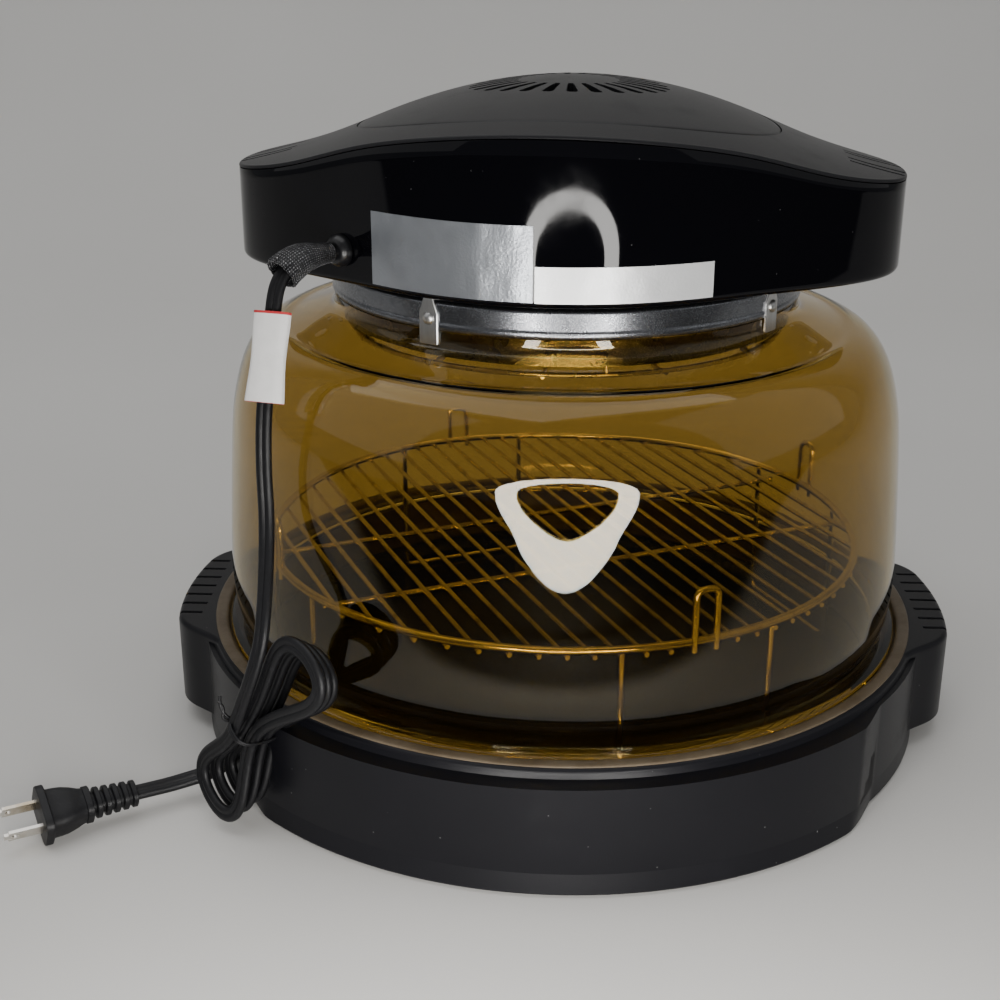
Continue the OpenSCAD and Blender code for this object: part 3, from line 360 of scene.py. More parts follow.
power_cord = mesh_piece(
    "power_cord", vinyl, "cord_vinyl", "head", (carried(cord_line, cord_section, cord_face), "tube"),
    replaces=("cord_lead", "cord_hank", "cord_tail"),
)  # fmt: skip

# ---------------------------------------- plug
# Moulded on the cord's end in the same vinyl: a ribbed strain relief, a rounded grip body and
# a wider face. The two blades are the plain nickel-plated strips of a two-pole plug.


def rounded(width, depth, power, count):
    """Superellipse: half the size times the cosine or sine raised to 2 over power, with its sign."""
    a = circle_of(count)
    c, s = np.cos(a), np.sin(a)
    width, depth, power = (np.asarray(v, float)[..., None] for v in (width, depth, power))
    x = width / 2 * np.sign(c) * np.abs(c) ** (2 / power)
    y = depth / 2 * np.sign(s) * np.abs(s) ** (2 / power)
    return np.stack(np.broadcast_arrays(x, y), -1)


# stations along the plug: distance, depth, width and squareness of the section
relief_at = [(0.0, 7.4, 10.0, 2.6)]
for rib in range(5):
    here, size = 0.3 + 4.3 * rib, 10.2 + 0.45 * rib
    relief_at += [
        (here, size - 0.6, size + 1.4, 2.8), (here + 0.35, size + 0.2, size + 2.2, 2.8),
        (here + 2.2, size + 0.2, size + 2.2, 2.8), (here + 2.55, size - 0.6, size + 1.4, 2.8),
        (here + 2.7, 8.0, 10.2, 2.6), (here + 4.2, 8.2, 10.4, 2.6),
    ]  # fmt: skip
body_at = [
    (21.6, 9.0, 11.0, 2.8), (21.8, 12.8, 15.4, 3.2), (22.2, 13.6, 16.2, 3.4), (24.8, 13.6, 16.2, 3.4),
    (25.2, 12.6, 15.2, 3.4), (26.6, 12.8, 15.8, 3.4), (30.0, 14.2, 18.4, 3.6), (34.0, 15.0, 20.6, 3.8),
    (37.0, 14.8, 21.4, 4.0), (40.5, 15.2, 21.6, 4.0), (41.4, 15.6, 22.0, 4.0), (41.6, 17.8, 25.5, 4.2),
    (42.0, 18.3, 26.0, 4.4), (44.8, 18.3, 26.0, 4.4), (45.3, 17.9, 25.6, 4.4), (45.4, 16.9, 24.6, 4.4),
]  # fmt: skip
stations = np.array(relief_at + body_at)
plug_line = plug_start + stations[:, :1] * plug_run
sections = rounded(*stations[:, 1:].T, 64)
plug_skin = plug_line[:, None] + sections @ np.stack([plug_flat, plug_wide])
plug_body = mesh_piece(
    "plug_moulding", vinyl, "cord_vinyl", "head", (plug_skin, "tube"), replaces=("plug_body",), sharp=30
)

nickel = Finish("nickel_plate", (0.74, 0.71, 0.66), 0.24, Metallic=1.0)
nickel.set(
    Roughness=0.16 + 0.25 * nickel.noise(9, 3),
    Base_Color=nickel.blend(nickel.noise(14, 4).rise(0.45, 0.75), (0.76, 0.73, 0.68), (0.48, 0.40, 0.28)),
)
nickel.relief(nickel.noise(0.8, 2), 0.02)


def dress(finish, *nodes):
    """The finish on carried-over nodes, whose shape stays as it is."""
    for node in nodes:
        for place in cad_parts[node].material_slots:
            place.material = finish.material


dress(nickel, "plug_blades")

# ---------------------------------------- tie, tag and cord outlet
# A thin black wire tie holds the hank at its waist. A blank paper flag with red edges is folded
# round the lead. A braided sleeve, frayed at its open end, sticks out of the black bushing.
ring_angle = circle_of(12)
tie_turn = np.linspace(0, 4 * np.pi, 120)
tie_deep = layer_step * 3 + cord_thick + 1.2
tie_path = on_hank(
    1.1 * np.cos(tie_turn / 2),
    (waist_half + cord_width / 2 + 0.7) * np.sign(np.cos(tie_turn)) * np.abs(np.cos(tie_turn)) ** 0.7,
    -layer_step + tie_deep / 2 * np.sign(np.sin(tie_turn)) * np.abs(np.sin(tie_turn)) ** 0.7,
)
tie_end = through([on_hank(0.4, 7.4, 2), on_hank(1.5, 9.5, 5), on_hank(4, 13, 7), on_hank(7, 17, 6.5)], 8)
twist_end = through(
    [on_hank(-0.6, 7.2, 3), on_hank(0.5, 9.2, 6.4), on_hank(3.6, 12, 6), on_hank(5.5, 15.4, 7.4)], 8
)
wire_ring = 0.75 * np.stack([np.cos(ring_angle), np.sin(ring_angle)], 1)
tie_wires = [(carried(line, wire_ring, long_run), "tube") for line in (tie_path, tie_end, twist_end)]
cord_tie = mesh_piece("wire_tie", vinyl, "cord_vinyl", "head", *tie_wires, replaces=("cord_tie",))

paper = Finish("tag_paper", (0.86, 0.855, 0.84), 0.62)
down_tag = paper.part(paper.node("ShaderNodeTexCoord", {}, output="UV"), "X")
edge_band = 1 - down_tag.rise(0.022, 0.03) + down_tag.rise(0.952, 0.96)
off_white = paper.blend(paper.noise(7, 3), (0.88, 0.875, 0.86), (0.76, 0.75, 0.73))
paper.set(Base_Color=paper.blend(edge_band, off_white, (0.55, 0.03, 0.035)))
paper.relief(paper.noise(5, 3), 0.2)
tag_top, tag_bottom = np.array([-128.4, -104.8, 236.5]), np.array([-131.8, -117.6, 198.5])
tag_fold = through([
    [7.6, -2.4], [3, -3.4], [-2, -3.8], [-6.6, -3.2], [-8.4, -0.6], [-7.6, 2.4], [-3, 3.6], [2, 3.7],
    [6, 3.3], [8.3, 2.0], [8.8, 0.2],
], 6)  # fmt: skip


def sheet_section(line, thickness):
    """Closed outline of a sheet: the line, and the line moved sideways by its thickness."""
    line = np.asarray(line, float)
    side = unit(np.gradient(line, axis=0)) @ np.array([[0, -1], [1, 0]]).T
    return np.vstack([line, (line + thickness * side)[::-1]])


tag_section = sheet_section(tag_fold, 0.22)
tag_t = np.linspace(0, 1, 25)[:, None]
tag_line = tag_top + tag_t * (tag_bottom - tag_top)
flare = 1 + 0.05 * np.cos(6 * tag_t[..., None]) + 0.06 * (tag_t[..., None] - 0.5)
tag_rings = carried(tag_line, (tag_section[:, ::-1] * [1, -1])[None] * flare, [-0.3, -0.95, 0])
cord_tag = mesh_piece(
    "paper_flag", paper, "paper", "head", (tag_rings, "tube"), replaces=("cord_tag",), sharp=50
)

braid = Finish("braided_sleeve", (0.02, 0.02, 0.022), 0.5)
weave = braid.node("ShaderNodeTexCoord", {}, output="UV")
# radians of weave along the sleeve, its turns round the sleeve, and those in radians
weave_along, weave_round, weave_once_round = 150, 20, 125.66
braid_u, braid_v = braid.part(weave, "X") * weave_along, braid.part(weave, "Y") * weave_once_round
strand = (braid_u + braid_v).sine() * (braid_u - braid_v).sine()
light_thread = strand.rise(0.25, 0.8) * braid.noise(1.6, 3).rise(0.35, 0.6)
braid.set(Base_Color=braid.blend(light_thread, (0.012, 0.012, 0.014), (0.32, 0.32, 0.33)))
braid.relief(strand, 0.35)
sleeve_path = evenly(through([[-106.5, -79.8, 258], *lead_route[1:4], [-125.2, -99.6, 252.2]], 8), 0.6)
sleeve_t = np.linspace(0, 1, len(sleeve_path))[:, None]
sleeve_angle = circle_of(80)[None]
fray = 0.5 * ease((sleeve_t - 0.8) * 5) * np.sin(sleeve_angle * 17 + 3 * np.sin(5 * sleeve_angle))
sleeve_r = 5.0 + 3.4 * ease(sleeve_t * 1.15) + fray
weave_u, weave_v = weave_along * sleeve_t, weave_round * sleeve_angle
weave_relief = 0.2 * np.sin(weave_u + weave_v) * np.sin(weave_u - weave_v)


def sleeve_skin(radius):
    """Circle of the given radius about each point of the sleeve's path, a little flattened."""
    circle = np.stack([0.92 * radius * np.cos(sleeve_angle), radius * np.sin(sleeve_angle)], -1)
    return carried(sleeve_path, circle, [0, 0, 1])


sleeve_rings = np.concatenate([sleeve_skin(sleeve_r + weave_relief), sleeve_skin(sleeve_r - 0.7)[::-1]])
mesh_piece("outlet_sleeve", braid, "braid", "head", (sleeve_rings, "ring"), replaces=("cord_sleeve",))

rubber = Finish("black_rubber", (0.006, 0.006, 0.007), 0.3, Specular_IOR_Level=0.4)
rubber.set(Roughness=0.26 + 0.2 * rubber.noise(5, 3), Coat_Weight=0.2, Coat_Roughness=0.12)
exit_run = polar(1.0, np.radians(-130), 0.0)


def turned(profile, count, start=(0, 0, 0), axis=(0, 0, 1), flat=(1, 0, 0)):
    """Surface of revolution: each (radius, height) of the profile, turned about the axis."""
    profile, axis = np.asarray(profile, float), unit(axis)
    first = unit(np.asarray(flat) - (np.asarray(flat) @ axis) * axis)
    a = circle_of(count)
    ring = np.outer(np.cos(a), first) + np.outer(np.sin(a), np.cross(axis, first))
    return np.asarray(start) + profile[:, :1, None] * ring + profile[:, 1:, None] * axis


bushing_profile = [
    (3.1, -9), (6.4, -9), (6.4, -7.9), (5.4, -7.9), (5.4, -5.3), (7.2, -5.3), (7.5, -4.4), (7.2, -2.4),
    (6.2, -0.8), (5.2, -0.1), (4.7, 0.1), (3.1, 0.1),
]  # fmt: skip
bushing_skin = turned(bushing_profile, 64, outlet, exit_run, (0, 0, 1))
mesh_piece(
    "outlet_bushing", rubber, "rubber", "head", (bushing_skin, "ring"), replaces=("cord_bushing",), sharp=50
)

# ---------------------------------------- base
# One moulding in satin black plastic. Its apron runs round front and back, and two grips with
# seven grooves each stand out at the sides, hollow underneath for the fingers.


def spokes(fine, coarse, reach):
    """Angles round the axis: steps of fine degrees within reach of the X axis, and coarse beyond."""
    quarter = np.r_[np.arange(0, reach, fine), np.arange(reach, 90, coarse)]
    half = np.r_[quarter, 180 - quarter[::-1]][: 2 * len(quarter)]
    full = np.unique(np.round(np.r_[half, 90, 360 - half], 5) % 360)
    return np.radians(full)


def from_x(angle):
    """Angle from the X axis, 0 to 90 degrees, on either side."""
    return np.degrees(np.arctan2(np.abs(np.sin(angle)), np.abs(np.cos(angle))))


base_angle = spokes(0.09, 0.5, 12)
off_axis = from_x(base_angle)
base_top, edge_round, rim_inner, wall_thick = 57.0, 2.6, 178.5, 3


def base_wall(z):
    """Radius of the wall at height z: the nearly upright core, or the apron where it stands out."""
    apron = 188 + 11 * ease((off_axis - 33) / 17)
    return np.maximum(190 - 4 * z / base_top, np.minimum(198 - 12 * z / base_top, apron))


def grip_wall(z):
    """Radius of the grips at height z: it falls away with the eighth power of the angle."""
    return np.minimum(183 + 21 / (1 + (off_axis / 17) ** 8), 205 - 1.5 * z / base_top)


def outer_wall(z):
    """The larger of the two radii at height z."""
    return np.maximum(base_wall(z), grip_wall(z))


# rings as (radius at every spoke, height): the flat top, its round edge, the wall, the hollow of
# the grips, the core's wall, and the underside
rim_edge = outer_wall(base_top) - edge_round
rings = [(rim_inner + (rim_edge - rim_inner) * share, base_top) for share in np.linspace(0, 1, 26)]
for bend in np.radians([15, 30, 45, 60, 75, 90]):
    rings.append((rim_edge + edge_round * np.sin(bend), base_top - edge_round * (1 - np.cos(bend))))
rings += [(outer_wall(z), z) for z in (53.0, 51.5, 50.0, 48.0)]
grooved = len(rings)
rings += [(outer_wall(z), z) for z in (40.0, 30.0, 20.0, 14.0, 12.0, 11.3)]
core, outer = base_wall(11.0), outer_wall(11.0)
pocket = np.maximum(outer - wall_thick, core)
rings += [(np.maximum(outer - 0.4, core), 10.9), (pocket, 10.9), (pocket, 53.0)]
rings += [(base_wall(z), z) for z in (53.0, 30.0, 10.9, 5.0, 2.2)]
foot_edge = base_wall(1.5)
rings += [(foot_edge - 0.5, 1.5), (foot_edge - wall_thick, 1.5), (foot_edge - wall_thick, 6.0)]
rings += [(2, 6), (2, 9), (183, 9), (rim_inner, 54)]
base_grid = np.array([polar(radius, base_angle, z) for radius, z in rings])
# grooves over the grips' top edge, parallel to the X axis and about 2 mm wide
groove_step, groove_deep = 11.5, 2.6
cut = np.zeros(base_grid.shape[:2])
for groove_row in range(-3, 4):
    cut = np.maximum(cut, 1 - ease((np.abs(base_grid[..., 1] - groove_step * groove_row) - 0.75) / 0.45))
cut *= ease((np.abs(base_grid[..., 0]) - 188.3) / 0.8) * (base_grid[..., 2] > 50.5)
cut[grooved:] = 0
base_grid[..., 2] = np.minimum(base_grid[..., 2], base_top - groove_deep * cut)

moulded = Finish("base_moulding", (0.005, 0.005, 0.007), 0.36, Specular_IOR_Level=0.2)
dust = 1 - moulded.specks(9, moulded.stretched((1, 1, 1), (0.3, 0.7, 0))).rise(0.02, 0.05)
scuff = moulded.noise(30, 4, 0.6).rise(0.55, 0.8)
plain = moulded.blend(moulded.noise(60, 3), (0.0035, 0.0035, 0.005), (0.007, 0.007, 0.009))
moulded.set(
    Base_Color=moulded.blend(dust, plain, (0.12, 0.12, 0.12)),
    Roughness=0.32 + 0.08 * moulded.noise(0.7, 2) + 0.12 * scuff,
)
moulded.relief(moulded.noise(0.6, 2), 0.03)
mesh_piece(
    "base_moulding", moulded, "base_plastic", "base", (base_grid, "ring"), replaces=("base_shell",), sharp=32
)
dress(rubber, "base_feet")

# ---------------------------------------- liner pan
# Pressed steel, enamelled: a brown-grey rim that lies on the base, a step down to the ledge
# that carries the dome, and a deep glossy black pan.


def smooth_profile(points, radius):
    """Each corner becomes a parabola between the points that lie radius away on its two sides."""
    p = np.asarray(points, float)
    out = [p[0]]
    for before, corner, after in zip(p[:-2], p[1:-1], p[2:]):
        a, b = before - corner, after - corner
        la, lb = np.linalg.norm(a), np.linalg.norm(b)
        start = corner + a * min(radius, la / 2.2) / la
        stop = corner + b * min(radius, lb / 2.2) / lb
        t = np.linspace(0, 1, 5)[:, None]
        out += list((1 - t) ** 2 * start + 2 * t * (1 - t) * corner + t**2 * stop)
    return np.array(out + [p[-1]])


enamel = Finish("pan_enamel", (0.02, 0.017, 0.014), 0.16, Specular_IOR_Level=0.15)
flat_place = enamel.stretched((1, 1, 0))
across_pan = enamel.node("ShaderNodeVectorMath", {"operation": "LENGTH"}, flat_place, output="Value")
rim_part = across_pan.rise(0.1675, 0.1695)
stain = enamel.noise(26, 5, 0.65)
inside = enamel.blend(stain.rise(0.5, 0.85), (0.004, 0.004, 0.003), (0.014, 0.010, 0.006))
rim_colour = enamel.blend(stain.rise(0.35, 0.7), (0.125, 0.098, 0.066), (0.080, 0.058, 0.034))
enamel.set(
    Base_Color=enamel.blend(rim_part, inside, rim_colour),
    Roughness=0.16 + 0.14 * rim_part + 0.1 * enamel.noise(12, 3),
)
enamel.relief(enamel.noise(2.2, 2), 0.05)
pan_line = smooth_profile([
    (184.0, 56.6), (184.0, 57.9), (177.6, 58.0), (176.7, 54.0), (169.2, 54.0), (169.0, 27), (161, 20.0),
    (120, 20.0), (60, 19.9), (0.6, 20.0),
], 2.2)  # fmt: skip
pan_grid = turned(sheet_section(pan_line, 1.0), 320)
mesh_piece(
    "enamelled_liner", enamel, "enamel", "pan", (pan_grid, "ring"), replaces=("liner_pan",), sharp=45
)

# ---------------------------------------- wire rack
# Nickel-plated steel wire, spot welded: a heavy rim, parallel bars under it, two cross wires,
# four long U legs down to the pan floor and four short loops above the rim.
rack_z, rack_r, rack_turn = 98.0, 153.0, np.radians(25.0)
rim_wire, bar_wire, cross_wire, leg_wire = 2.0, 1.25, 1.5, 1.6


def turned_about_z(angle):
    """Matrix that turns rows of points by the angle about the oven's axis."""
    c, s = np.cos(angle), np.sin(angle)
    return np.array([[c, s, 0], [-s, c, 0], [0, 0, 1]])


def on_rack(points):
    """Points of the rack, turned about the oven's axis to the rack's place."""
    return points @ turned_about_z(rack_turn)


def wire(points, radius, sides, face=(0.02, 0.01, 1)):
    """Round wire along a line, with its ends drawn in to a small crown."""
    line = np.asarray(points, float)
    first, last = line[:1] + (line[:1] - line[1:2]) * 1e-3, line[-1:] + (line[-1:] - line[-2:-1]) * 1e-3
    line = np.vstack([first, line, last])
    size = np.full(len(line), float(radius))
    size[[0, -1]] = 0.6 * radius
    a = circle_of(sides)
    circle = np.stack([np.cos(a), np.sin(a)], -1) * size[:, None, None]
    return carried(line, circle, face), "tube"


bar_z = rack_z - rim_wire - bar_wire + 0.5
cross_z = bar_z - 2 * bar_wire + 0.4
bars, bar_count, bar_step = [], 26, 11.2
for bar in range(bar_count):
    x = (bar - (bar_count - 1) / 2) * bar_step
    half = np.sqrt(rack_r**2 - x * x) + 1.5
    ends = np.array([-half, -half + 1, -half / 2, 0, half / 2, half - 1, half])
    sag = 0.35 * np.sin(bar * 2.1) * (1 - (ends / half) ** 2)
    bars.append(wire(on_rack(np.stack([x + sag, ends, bar_z + 0 * ends], 1)), bar_wire, 8))
for y in (-45, 27):
    half = np.sqrt(rack_r**2 - y * y) - 2
    ends = np.linspace(-half, half, 9)
    bars.append(wire(on_rack(np.stack([ends, y + 0 * ends, cross_z + 0 * ends], 1)), cross_wire, 8))
rim_turn = circle_of(16)
rim_section = np.stack([rack_r + rim_wire * np.cos(rim_turn), rack_z + rim_wire * np.sin(rim_turn)], 1)
rim_circle = turned(rim_section, 240)
legs, post, leg_spread = [], rack_r - 1, np.radians(14.5)
for quarter in range(4):
    turn = turned_about_z(quarter * np.pi / 2)
    outwards = on_rack(np.array([[1.0, 0.01, 0]]) @ turn)[0]
    x, half = post * np.cos(leg_spread), post * np.sin(leg_spread)
    top, foot = rack_z - 1, 21.8
    leg = smooth_profile([(x, -half, top), (x, -half, foot), (x, half, foot), (x, half, top)], 4)
    legs.append(wire(on_rack(leg @ turn), leg_wire, 12, outwards))
    x = rack_r + 0.6
    top, foot = rack_z + 25, bar_z - 2
    loop = smooth_profile([(x, -5.5, foot), (x, -5.5, top), (x, 5.5, top), (x, 5.5, foot)], 4.5)
    legs.append(wire(on_rack(loop @ turn), leg_wire, 12, outwards))
golden = Finish("rack_nickel", (0.86, 0.80, 0.62), 0.2, Metallic=1.0)
golden.set(
    Base_Color=golden.blend(golden.noise(11, 4).rise(0.5, 0.8), (0.90, 0.84, 0.66), (0.50, 0.40, 0.24)),
    Roughness=0.12 + 0.18 * golden.noise(7, 3),
)
golden.relief(golden.noise(0.9, 2), 0.02)
mesh_piece(
    "wire_rack", golden, "nickel", "rack", (rim_circle, "ring"), *bars, *legs,
    replaces=("rack_grid", "rack_long_legs", "rack_short_loops"), sharp=60,
)  # fmt: skip

# ---------------------------------------- dome
# Blown in clear amber plastic, 3 mm thick: a foot flange, an upright wall with a round
# shoulder, a small step, and the neck that carries the head.
dome_wall = through([
    (168.4, 57.2), (168.2, 58.8), (170.2, 62.9), (172.0, 67.6), (173.3, 77.9), (173.6, 90.5), (173.1, 106.3),
    (171.8, 128.5), (170.2, 152.2), (168.6, 169.5), (166.0, 183.0), (162.2, 194.8), (157.2, 203.5),
    (150.6, 209.8), (141.7, 213.6),
], 6)  # fmt: skip
dome_neck = smooth_profile(
    [(141.7, 213.6), (140.1, 212.2), (124.6, 217.2), (117.4, 219.8), (115.6, 221.6), (115.6, 227.8)], 1.4
)
outer_line = evenly(np.vstack([dome_wall, dome_neck[1:]]), 2.2)
outer_line[1:-1] = 0.25 * outer_line[:-2] + 0.5 * outer_line[1:-1] + 0.25 * outer_line[2:]
inwards = unit(np.gradient(outer_line, axis=0)) @ np.array([[0, 1], [-1, 0]])
inner_line = (outer_line + 3.0 * inwards)[::-1]
inner_line[:, 1] = np.minimum(inner_line[:, 1], 227.6)
dome_section = np.vstack([
    outer_line, [(115.3, 228.0), (113.0, 228.0)], inner_line[1:-2],
    [(165.4, 57.4), (165.3, 54.3), (175.2, 54.2), (176.0, 54.8), (176.0, 56.6), (175.2, 57.3)],
])  # fmt: skip
amber = Finish("amber_plastic", (0.66, 0.50, 0.19), 0.03, Specular_IOR_Level=0.35)
haze = amber.noise(70, 4, 0.6)
# painted shade: the amber turns darker from 190 mm down to 70 mm, standing in for the shade of the dark pan
# behind it
painted_shade_low = amber.part(amber.place, "Z").rise(0.19, 0.07)
clear = amber.blend(haze, (0.69, 0.53, 0.21), (0.63, 0.475, 0.17))
amber.set(
    Base_Color=amber.blend(painted_shade_low, clear, (0.52, 0.39, 0.12)),
    Roughness=0.015 + 0.04 * amber.noise(22, 4).rise(0.5, 0.9), Transmission_Weight=1.0, IOR=1.40,
)  # fmt: skip
amber.relief(amber.noise(60, 1), 0.25)
dome_skin = turned(dome_section, 320)
mesh_piece("amber_dome", amber, "amber_dome", "dome", (dome_skin, "ring"), replaces=("dome_shell",), sharp=50)

# ---------------------------------------- heater can and clips
# A pressed can in dark metallic grey paint under the head. Four zinc strips with domed rivets
# hang over the dome's neck and keep the head from sliding off.
can_paint = Finish("can_paint", (0.20, 0.205, 0.22), 0.26, Metallic=0.95)
flake = can_paint.noise(0.45, 1)
can_paint.set(
    Base_Color=can_paint.blend(flake.rise(0.4, 0.75), (0.12, 0.124, 0.135), (0.34, 0.35, 0.37)),
    Roughness=0.22 + 0.10 * can_paint.noise(16, 3),
)
can_paint.relief(flake, 0.012)
can_line = smooth_profile([
    (32, 241.6), (114.2, 241.6), (116.2, 240.4), (116.2, 232), (116.6, 231.0), (116.6, 229.4), (116.0, 228.3),
    (110.2, 228.3), (110.2, 213),
], 0.9)  # fmt: skip
can_skin = turned(sheet_section(can_line[::-1], 0.9), 320)
mesh_piece(
    "heater_can", can_paint, "grey_paint", "head", (can_skin, "ring"), replaces=("heater_can",), sharp=45
)

zinc = Finish("zinc_plate", (0.62, 0.62, 0.61), 0.3, Metallic=1.0)
streak = zinc.noise(3, 4, 0.6, zinc.stretched((1, 1, 0.12)))
zinc.set(
    Base_Color=zinc.blend(streak, (0.68, 0.68, 0.67), (0.46, 0.46, 0.45)),
    Roughness=0.22 + 0.25 * streak,
)
zinc.relief(streak, 0.03)
head_turn, strip_r, rivet_r, rivet_z = np.radians(-5.0), 116.0, 117.2, 233.5
strips, rivets = [], []
for clip in (-116, -31, 64, 149):
    out = polar(1.0, np.radians(clip) + head_turn, 0.0)
    side = np.cross([0, 0, 1], out)
    z = np.array([221.6, 221.6, 222.2, 230, 235.6, 236.4, 238.5, 241.6, 242.3, 242.3])
    half = np.array([4.2, 4.6, 5.0, 5.0, 5.0, 4.8, 3.9, 2.9, 2.6, 2.0])
    thin = np.array([0.3, 1.0, 1.15, 1.15, 1.15, 1.15, 1.15, 1.15, 1.0, 0.3])
    flat = 0 * z
    depth = np.stack([flat + 0.1, thin - 0.2, thin, thin, thin - 0.3, flat - 0.1, flat + 0.1], 1)
    wide = np.stack([-half, -half, -half + 0.25, half - 0.5, half - 0.05, half, half - 0.3], 1)
    depth, wide, height = depth[..., None], wide[..., None], z[:, None, None]
    strips.append((strip_r * out + depth * out + wide * side + height * [0, 0, 1], "tube"))
    bead = [(0.0, -0.2), (2.9, -0.2), (3.0, 0.0), (2.8, 0.55), (2.2, 1.05), (1.3, 1.4), (0.5, 1.52)]
    bead.append((0.001, 1.54))
    rivets.append((turned(bead, 32, rivet_r * out + [0, 0, rivet_z], out, (0, 0, 1)), "tube"))
mesh_piece("locating_strips", zinc, "zinc", "head", *strips, replaces=("locating_clips",), sharp=30)
mesh_piece("rivet_heads", zinc, "zinc", "head", *rivets, replaces=("clip_rivets",), sharp=50)

# ---------------------------------------- head housing and cover
# The lower housing is moulded in gloss black, the cover in satin charcoal. They meet in a thin
# dark joint. Both follow one outline: a round middle that runs out into two blunt grips.
head_angle = spokes(0.1, 0.5, 12)


def head_edge(angle):
    """Radius of the outline: a circle that grows with the eighth power of the cosine, met by the
    grips' straight ends through a mean of power thirty."""
    c = np.maximum(np.abs(np.cos(angle)), 0.001)
    return ((120.5 + 46 * c**8) ** -30.0 + (164.8 / c) ** -30.0) ** (-1 / 30)


def cover_height(u, v):
    """Top of the cover: a low dome along the head that runs out into straight falls over the grips."""
    dome, wing = 0.0022 * u * u + 1e-4, 8 + 0.205 * np.abs(u)
    return 328.0 - (dome**-8.0 + wing**-8.0) ** (-1 / 8) - 0.00087 * v * v


def top_at(radius, angle=head_angle):
    """Height of the cover's top at a radius and an angle of the head's own frame."""
    return cover_height(radius * np.cos(angle), radius * np.sin(angle))


def head_skin(rings):
    """Rings of (radius at every spoke, height) turned to the head's place on the dome."""
    return np.array([polar(radius, head_angle + head_turn, z) for radius, z in rings])


edge, wall_from, hole_r = head_edge(head_angle), 245.8, 70.0
joint = top_at(edge) - 1.5
housing_rings = [(edge - 3.0, 242.5), (edge - 2.2, 242.6), (edge - 1.3, 243.0), (edge - 0.6, 243.7)]
housing_rings += [(edge - 0.15, 244.6), (edge, wall_from)]
housing_rings += [(edge, wall_from + (joint - 0.5 - wall_from) * share) for share in np.linspace(0.1, 1, 10)]
housing_rings += [(edge - 0.12, joint - 0.3), (edge - 0.5, joint - 0.15), (edge - 2.5, joint - 0.15)]
housing_rings += [(edge - 2.5, 245.0), (hole_r, 245.0), (hole_r, 242.5)]
gloss = Finish("housing_gloss", (0.002, 0.002, 0.003), 0.04, Specular_IOR_Level=0.2)
smudge = gloss.noise(34, 5, 0.62).rise(0.5, 0.8)
lint = 1 - gloss.specks(8).rise(0.015, 0.035)
gloss.set(
    Base_Color=gloss.blend(lint, (0.002, 0.002, 0.003), (0.10, 0.10, 0.10)),
    Roughness=0.03 + 0.06 * smudge + 0.3 * lint,
)
gloss.relief(gloss.noise(55, 1), 0.12)
housing_skin = head_skin(housing_rings)
mesh_piece(
    "head_housing", gloss, "gloss_black", "head", (housing_skin, "ring"), replaces=("lower_housing",)
)

cap_hole_r, ledge_r, cover_round = 102.3, 98.0, 1.2
flat_edge = edge - cover_round
cover_rings = []
for share in np.linspace(0, 1, 40):
    radius = cap_hole_r + (flat_edge - cap_hole_r) * share
    u, v = radius * np.cos(head_angle), radius * np.sin(head_angle)
    # four narrow grooves along the top of each grip
    lines = np.zeros_like(u)
    for groove_v in (-18, -9, 9, 18):
        lines = np.maximum(lines, 1 - ease((np.abs(v - groove_v) - 0.9) / 0.5))
    lines *= ease((np.abs(u) - 134) / 2)
    cover_rings.append((radius, cover_height(u, v) - 2.4 * lines))
for bend in np.radians([15, 30, 45, 60, 75, 90]):
    rounding = joint + 0.3 + (top_at(flat_edge) - joint - 0.3) * (0.3 + 0.7 * np.cos(bend))
    cover_rings.append((flat_edge + cover_round * np.sin(bend), rounding))
cover_rings += [(edge, joint + 0.3), (edge - 0.5, joint + 0.1), (edge - 2.5, joint + 0.1)]
for inset, drop in ((8, 5.2), (0.5 * (edge - cap_hole_r), 4.0)):
    radius = np.maximum(edge - inset, cap_hole_r + 2)
    cover_rings.append((radius, top_at(radius) - drop))
cover_rings += [(ledge_r, top_at(ledge_r) - 5.0), (ledge_r, top_at(ledge_r) - 2.8)]
cover_rings += [(cap_hole_r, top_at(cap_hole_r) - 2.8)]
satin = Finish("cover_satin", (0.020, 0.020, 0.022), 0.34, Specular_IOR_Level=0.16)
grain = satin.noise(0.7, 2)
cloud = satin.noise(80, 3)
satin.set(
    Base_Color=satin.blend(cloud, (0.011, 0.011, 0.0125), (0.019, 0.019, 0.021)),
    Roughness=0.30 + 0.10 * grain + 0.10 * satin.noise(40, 4).rise(0.5, 0.85),
)
satin.relief(grain, 0.04)
cover_skin = head_skin(cover_rings)
mesh_piece("head_cover", satin, "satin_charcoal", "head", (cover_skin, "ring"), replaces=("upper_cover",))

# ---------------------------------------- vent cap
# A round cap in the cover's plastic, set flush in the cover with a thin dark gap. Its petal
# slots let the cooling air out above the motor.
petals, slot_depth = 26, 7.0
cap_angle = circle_of(26 * petals)
cap_radius = np.r_[np.linspace(0.5, 22, 8), np.arange(22.6, 50, 0.6), np.linspace(51, 100.4, 24)]
off_petal = np.abs((cap_angle * petals / (2 * np.pi) + 0.5) % 1 - 0.5) * (2 * np.pi / petals)
cap_rings = []
for radius in cap_radius:
    widening, round_end = np.clip((radius - 25) / 20, 0, 1), np.clip((48.2 - radius) / 2.2, 0, 1)
    width = 0.7 + 1.5 * widening**0.8 * round_end**0.5
    slot = 1 - ease((off_petal * radius - width) / 0.35)
    slot = slot * ease((radius - 24.6) / 0.9) * ease((48.4 - radius) / 0.9)
    cap_rings.append((radius, slot_depth * slot))
cap_rings += [(101.2, 0.12), (101.75, 0.5), (101.85, 1.2), (101.85, 2.4), (60, 2.4), (50, 9.0), (0.5, 9.0)]
cap_skin = np.array([polar(r, cap_angle, top_at(r, cap_angle) - drop) for r, drop in cap_rings])
cap_skin = cap_skin @ turned_about_z(head_turn)
